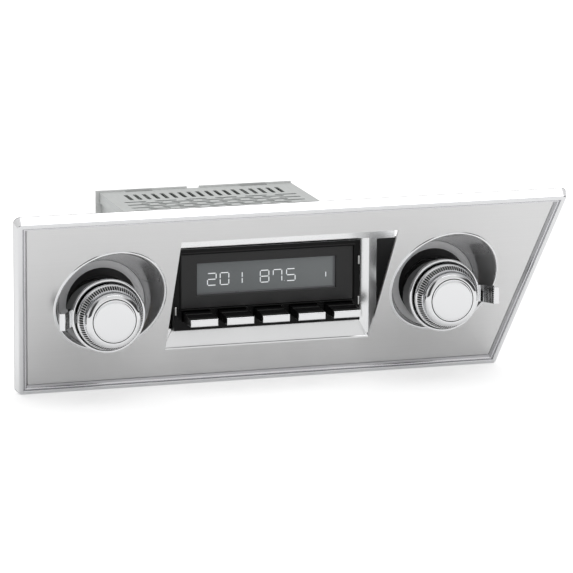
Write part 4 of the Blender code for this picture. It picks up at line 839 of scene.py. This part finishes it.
# Line-out jacks: four nickel-plated shells with coloured moulded cores, on a black moulded block that
# is screwed behind the rear panel.
jack_low, jack_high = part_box("line_out_jacks")
BLOCK_BACK = panel_low.y - 0.6 * MM
JACK_SPREAD = 7.0 * MM
BLOCK_CHAMFER = 0.5 * MM
block_shape = loft([around_box(jack_low, jack_high, -inset, y) for inset, y in (
    (BLOCK_CHAMFER, jack_low.y), (0.0, jack_low.y + BLOCK_CHAMFER), (0.0, BLOCK_BACK - BLOCK_CHAMFER),
    (BLOCK_CHAMFER, BLOCK_BACK))], "capped")
block = piece_from("line_out_block", block_shape, black_satin, 20.0)
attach(block, "radio")
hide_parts("line_out_jacks")
red_core = finish("red_moulding", (0.42, 0.015, 0.012), 0.0, 0.36, 0.12, 0.1)
for row, up in (("lower", -JACK_SPREAD), ("upper", JACK_SPREAD)):
    for side, across, material in (("left", -JACK_SPREAD, white_insulator),
                                   ("right", JACK_SPREAD, red_core)):
        jack_axis = Vector(((jack_low.x + jack_high.x) / 2 + across, panel_high.y,
                            (jack_low.z + jack_high.z) / 2 + up))
        shell = turned(f"{row}_{side}_jack_shell", plain([
            (3.2, 1.9), (4.1, 1.9), (4.1, -0.1), (5.3, -0.1), (5.3, -0.7), (5.0, -1.0), (4.1, -1.0),
            (4.1, -8.6), (3.9, -8.9), (3.5, -8.9), (3.3, -8.7), (3.3, -2.0), (3.2, 1.9)]),
            jack_axis, bright_steel, 40)
        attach(shell, "radio")
        core = turned(f"{row}_{side}_jack_core", plain([
            (1.7, 1.9), (3.2, 1.9), (3.2, -7.6), (3.0, -7.9), (1.9, -7.9), (1.7, -7.7), (1.7, 1.9)]),
            jack_axis, material, 32)
        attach(core, "radio")

# Power socket: a black moulded shroud that stands in the rear panel's cut-out, with two rows of
# tinned brass blades inside it for the wiring plug.
shroud = softened("power_shroud", "power_socket", black_satin, 0.4 * MM)
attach(shroud, "radio")
power_low, power_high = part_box("power_socket")
BLADE_PITCH = 3.0 * MM
BLADE_ROW = 2.4 * MM
BLADE_COLUMNS = 8
BLADE_LENGTH = 11.5 * MM


def blade(shape, root, tip, half_width, half_thick):
    """A flat tongue from root to tip with a tapered end, its width along X."""
    along = (tip - root).normalized()
    thick = along.cross(Vector((1.0, 0.0, 0.0))) * half_thick
    wide = Vector((half_width, 0.0, 0.0))
    loops = [[place - (wide + thick) * share, place + (wide - thick) * share, place + (wide + thick) * share,
              place - (wide - thick) * share]
             for place, share in ((root, 1.0), (tip - along * 1.2 * MM, 1.0), (tip, 0.4))]
    loft(loops, "capped", shape)


blades = bmesh.new()
for column in range(BLADE_COLUMNS):
    across = (column - (BLADE_COLUMNS - 1) / 2) * BLADE_PITCH
    for way in (-1, 1):
        foot = Vector(((power_low.x + power_high.x) / 2 + across, power_low.y + 1.5 * MM,
                       (power_low.z + power_high.z) / 2 + way * BLADE_ROW))
        blade(blades, foot, foot + Vector((0.0, BLADE_LENGTH, 0.0)), 0.55 * MM, 0.35 * MM)
pins = piece_from("power_blades", blades, bright_steel, 20.0)
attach(pins, "radio")

# Brackets: steel sheet folded at a right angle and coated black, from the chassis sides out to the
# controls. Two washer-head screws through each one hold its dish.
DISH_SCREW_HEAD = 2.0 * MM
black_steel = finish("black_coated_steel", (0.020, 0.020, 0.021), 0.0, 0.36, 0.18, 0.3)
for side in ("left", "right"):
    bracket = softened(side + "_folded_bracket", side + "_bracket", black_steel, 0.3 * MM)
    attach(bracket, "radio")
    for level in ("upper", "lower"):
        low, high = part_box(f"{side}_{level}_dish_screw")
        seat = Vector(((low.x + high.x) / 2, high.y - DISH_SCREW_HEAD, (low.z + high.z) / 2))
        screw = washer_screw(f"{side}_{level}_washer_screw", seat, 2.8 * MM, 1.5 * MM, seat.y - low.y,
                             DISH_SCREW_HEAD)
        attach(screw, "radio")
        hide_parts(f"{side}_{level}_dish_screw")

# Controls: dual controls in black moulded bodies, each with a steel plate between its two halves and
# two rows of tinned lugs below. A brass bushing and a nut hold each one in its bracket.
for use in ("volume", "tuner"):
    body = softened(use + "_moulded_body", use + "_control_body", black_satin, 0.5 * MM)
    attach(body, "radio")
    low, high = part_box(use + "_control_body")
    middle = (low.y + high.y) / 2
    plate_shape = loft([around_box(low, high, grow, middle + back) for grow, back in (
        (-9.0 * MM, -0.5 * MM), (0.3 * MM, -0.5 * MM), (0.4 * MM, 0.0), (0.3 * MM, 0.5 * MM),
        (-9.0 * MM, 0.5 * MM))])
    plate = piece_from(use + "_middle_plate", plate_shape, bright_steel, 20.0)
    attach(plate, "radio")
    lugs = bmesh.new()
    for y in (middle - 5.5 * MM, middle + 5.5 * MM):
        for across in (-6.0 * MM, 0.0, 6.0 * MM):
            root = Vector(((low.x + high.x) / 2 + across, y, low.z + 1.0 * MM))
            blade(lugs, root, root - Vector((0.0, 0.0, 5.6 * MM)), 0.9 * MM, 0.25 * MM)
    tinned = piece_from(use + "_solder_lugs", lugs, bright_steel, 20.0)
    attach(tinned, "radio")
    dress(yellow_brass, use + "_bushing")
    dress(bright_steel, use + "_nut", use + "_push_rod", use + "_shaft", use + "_sleeve")

# Inside: glass-fibre boards with fine tracks, the rubber key strip and the milky light guide behind
# the nosepiece, and on the main board the screened tuner, the amplifier on its heat sink and a
# capacitor.
green_board = finish("green_circuit_board", (0.015, 0.14, 0.06), 0.0, 0.30, 0.2, 0.3)
board_nodes, board_links = green_board.node_tree.nodes, green_board.node_tree.links
board_place = board_nodes.new("ShaderNodeTexCoord")
board_lie = board_nodes.new("ShaderNodeMapping")
board_lie.inputs["Rotation"].default_value = (math.radians(45.0), 0.0, 0.0)
board_links.new(board_place.outputs["Object"], board_lie.inputs["Vector"])
tracks = board_nodes.new("ShaderNodeTexBrick")
tracks.inputs["Color1"].default_value = (0.010, 0.105, 0.045, 1.0)
tracks.inputs["Color2"].default_value = (0.016, 0.150, 0.066, 1.0)
tracks.inputs["Mortar"].default_value = (0.045, 0.240, 0.110, 1.0)
tracks.inputs["Scale"].default_value = 1.0
tracks.inputs["Brick Width"].default_value = 8.0 * MM
tracks.inputs["Row Height"].default_value = 1.4 * MM
tracks.inputs["Mortar Size"].default_value = 0.2 * MM
board_links.new(board_lie.outputs["Vector"], tracks.inputs["Vector"])
board_links.new(tracks.outputs["Color"], board_nodes["Principled BSDF"].inputs["Base Color"])
grey_rubber = finish("grey_keypad_rubber", (0.26, 0.26, 0.25), 0.0, 0.70, 0.15, 0.3)
milky = finish("milky_light_guide", (0.76, 0.78, 0.76), 0.0, 0.30, 0.1, 0.1)
black_alloy = finish("black_anodised_alloy", (0.025, 0.025, 0.026), 0.6, 0.40, 0.15, 0.3)
blue_sleeve = finish("blue_capacitor_sleeve", (0.02, 0.04, 0.14), 0.0, 0.28, 0.12, 0.1)
dress(green_board, "front_board", "main_board")
dress(grey_rubber, "keypad_strip")
dress(milky, "light_guide")
dress(blue_sleeve, "filter_capacitor")
for name, node, material, slot in (
        ("screened_tuner", "tuner_can", bright_steel, "bright_steel"),
        ("finned_heat_sink", "heat_sink", black_alloy, "black_alloy"),
        ("moulded_amplifier", "amplifier_chip", black_satin, "black_plastic")):
    piece = softened(name, node, material, 0.3 * MM)
    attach(piece, "radio")

# Floor: white studio paper laid flat under the bezel's foot. A glow that grows with the distance from
# the radio keeps it white to the camera and leaves the shadow under the radio.
FLOOR_HALF = 6.0
FLOOR_DROP = 0.2 * MM
floor_shape = bmesh.new()
bmesh.ops.create_grid(floor_shape, x_segments=1, y_segments=1, size=FLOOR_HALF)


def joined_value(tree, operation, one, two):
    """Two outputs of a node tree multiplied, or the larger of the two."""
    node = tree.nodes.new("ShaderNodeMath")
    node.operation = operation
    tree.links.new(one, node.inputs[0])
    tree.links.new(two, node.inputs[1])
    return node.outputs["Value"]


white_floor = bpy.data.materials.new("white_floor")
white_floor.use_nodes = True
floor_tree = white_floor.node_tree
floor_tree.nodes.remove(floor_tree.nodes["Principled BSDF"])
paper = floor_tree.nodes.new("ShaderNodeBsdfDiffuse")
paper.inputs["Color"].default_value = (0.90, 0.90, 0.90, 1.0)
glow = floor_tree.nodes.new("ShaderNodeEmission")
glow.inputs["Color"].default_value = (1.0, 1.0, 1.0, 1.0)
seen = floor_tree.nodes.new("ShaderNodeLightPath")
spot = floor_tree.nodes.new("ShaderNodeNewGeometry")
away = floor_tree.nodes.new("ShaderNodeVectorMath")
away.operation = "LENGTH"
floor_tree.links.new(spot.outputs["Position"], away.inputs[0])
fade = floor_tree.nodes.new("ShaderNodeMapRange")
fade.inputs["From Min"].default_value = 0.3
fade.inputs["From Max"].default_value = 1.3
fade.inputs["To Min"].default_value = 0.50
fade.inputs["To Max"].default_value = 1.0
floor_tree.links.new(away.outputs["Value"], fade.inputs["Value"])
clear = joined_value(floor_tree, "MAXIMUM", seen.outputs["Is Camera Ray"],
                     seen.outputs["Is Transmission Ray"])
lift = joined_value(floor_tree, "MULTIPLY", clear, fade.outputs["Result"])
mirrored = floor_tree.nodes.new("ShaderNodeMath")
mirrored.operation = "MULTIPLY_ADD"
mirrored.inputs[1].default_value = 0.17
floor_tree.links.new(seen.outputs["Is Glossy Ray"], mirrored.inputs[0])
floor_tree.links.new(lift, mirrored.inputs[2])
floor_tree.links.new(mirrored.outputs["Value"], glow.inputs["Strength"])
both = floor_tree.nodes.new("ShaderNodeAddShader")
floor_tree.links.new(paper.outputs["BSDF"], both.inputs[0])
floor_tree.links.new(glow.outputs["Emission"], both.inputs[1])
floor_tree.links.new(both.outputs["Shader"], floor_tree.nodes["Material Output"].inputs["Surface"])
floor = piece_from("studio_floor", floor_shape, white_floor)
floor.location.z = -FLOOR_DROP

# Studio light: a room with pale walls in front and behind and darker ones at the sides, and a large
# soft lamp overhead.
world = bpy.data.worlds.new("studio_room")
bpy.context.scene.world = world
world.use_nodes = True
room = world.node_tree
walls = room.nodes["Background"]
walls.inputs["Strength"].default_value = 1.0
room_place = room.nodes.new("ShaderNodeTexCoord")
room_split = room.nodes.new("ShaderNodeSeparateXYZ")
room.links.new(room_place.outputs["Generated"], room_split.inputs["Vector"])


def wall_edge(axis, start, end):
    """How far a direction has passed into a dark wall, from 0 at start to 1 at end."""
    edge = room.nodes.new("ShaderNodeMapRange")
    edge.interpolation_type = "SMOOTHSTEP"
    edge.inputs["From Min"].default_value = start
    edge.inputs["From Max"].default_value = end
    room.links.new(room_split.outputs[axis], edge.inputs["Value"])
    return edge.outputs["Result"]


left_front = joined_value(room, "MULTIPLY", wall_edge("X", -0.38, -0.56), wall_edge("Y", -0.12, -0.30))
right_low = joined_value(room, "MULTIPLY", wall_edge("X", 0.42, 0.66), wall_edge("Z", 0.62, 0.42))
sideways = joined_value(room, "MAXIMUM", right_low, left_front)
wall_tone = room.nodes.new("ShaderNodeValToRGB")
wall_tone.color_ramp.elements[0].color = (0.765, 0.765, 0.765, 1.0)
wall_tone.color_ramp.elements[1].color = (0.05, 0.05, 0.05, 1.0)
room.links.new(sideways, wall_tone.inputs["Fac"])
room.links.new(wall_tone.outputs["Color"], walls.inputs["Color"])
backdrop = room.nodes.new("ShaderNodeBackground")
backdrop.inputs["Color"].default_value = (1.0, 1.0, 1.0, 1.0)
room_seen = room.nodes.new("ShaderNodeLightPath")
room_pick = joined_value(room, "MAXIMUM", room_seen.outputs["Is Camera Ray"],
                         room_seen.outputs["Is Transmission Ray"])
room_mix = room.nodes.new("ShaderNodeMixShader")
room.links.new(room_pick, room_mix.inputs["Fac"])
room.links.new(walls.outputs["Background"], room_mix.inputs[1])
room.links.new(backdrop.outputs["Background"], room_mix.inputs[2])
room.links.new(room_mix.outputs["Shader"], room.nodes["World Output"].inputs["Surface"])


def soft_lamp(name, place, aim, width, height, power):
    """A rectangular lamp with a diffuser, turned towards a place."""
    data = bpy.data.lights.new(name, "AREA")
    data.shape = "RECTANGLE"
    data.size = width
    data.size_y = height
    data.energy = power
    lamp = bpy.data.objects.new(name, data)
    lamp.location = place
    lamp.rotation_mode = "QUATERNION"
    lamp.rotation_quaternion = (Vector(aim) - Vector(place)).to_track_quat("-Z", "Y")
    bpy.context.scene.collection.objects.link(lamp)


soft_lamp("overhead_softbox", (0.45, -0.45, 1.7), (0.45, -0.45, 0.0), 1.4, 1.2, 7.0)

# Camera: a long lens far in front of the radio, to its left and a little above it. Its place, turn and
# focal length were worked out from the outlines in the photograph.
CAMERA_PLACE = (-599.09 * MM, 461.11 * MM, 1994.64 * MM)
CAMERA_YAW = math.radians(17.0)
CAMERA_PITCH = math.radians(12.5)
CAMERA_ROLL = math.radians(0.31)
FOCAL_PIXELS = 3901.0
IMAGE_PIXELS = 573.0
camera_data = bpy.data.cameras.new("photo_camera")
camera_data.sensor_width = 36.0
camera_data.lens = FOCAL_PIXELS / IMAGE_PIXELS * camera_data.sensor_width
camera_data.clip_start = 0.1
camera_data.clip_end = 50.0
camera = bpy.data.objects.new("photo_camera", camera_data)
camera.matrix_world = (Matrix.Translation(front_view(*CAMERA_PLACE))
                       @ Matrix.Rotation(-CAMERA_YAW, 4, "Z")
                       @ Matrix.Rotation(math.pi / 2 - CAMERA_PITCH, 4, "X")
                       @ Matrix.Rotation(CAMERA_ROLL, 4, "Z"))
bpy.context.scene.collection.objects.link(camera)
bpy.context.scene.camera = camera
bpy.context.scene.view_settings.view_transform = "Standard"
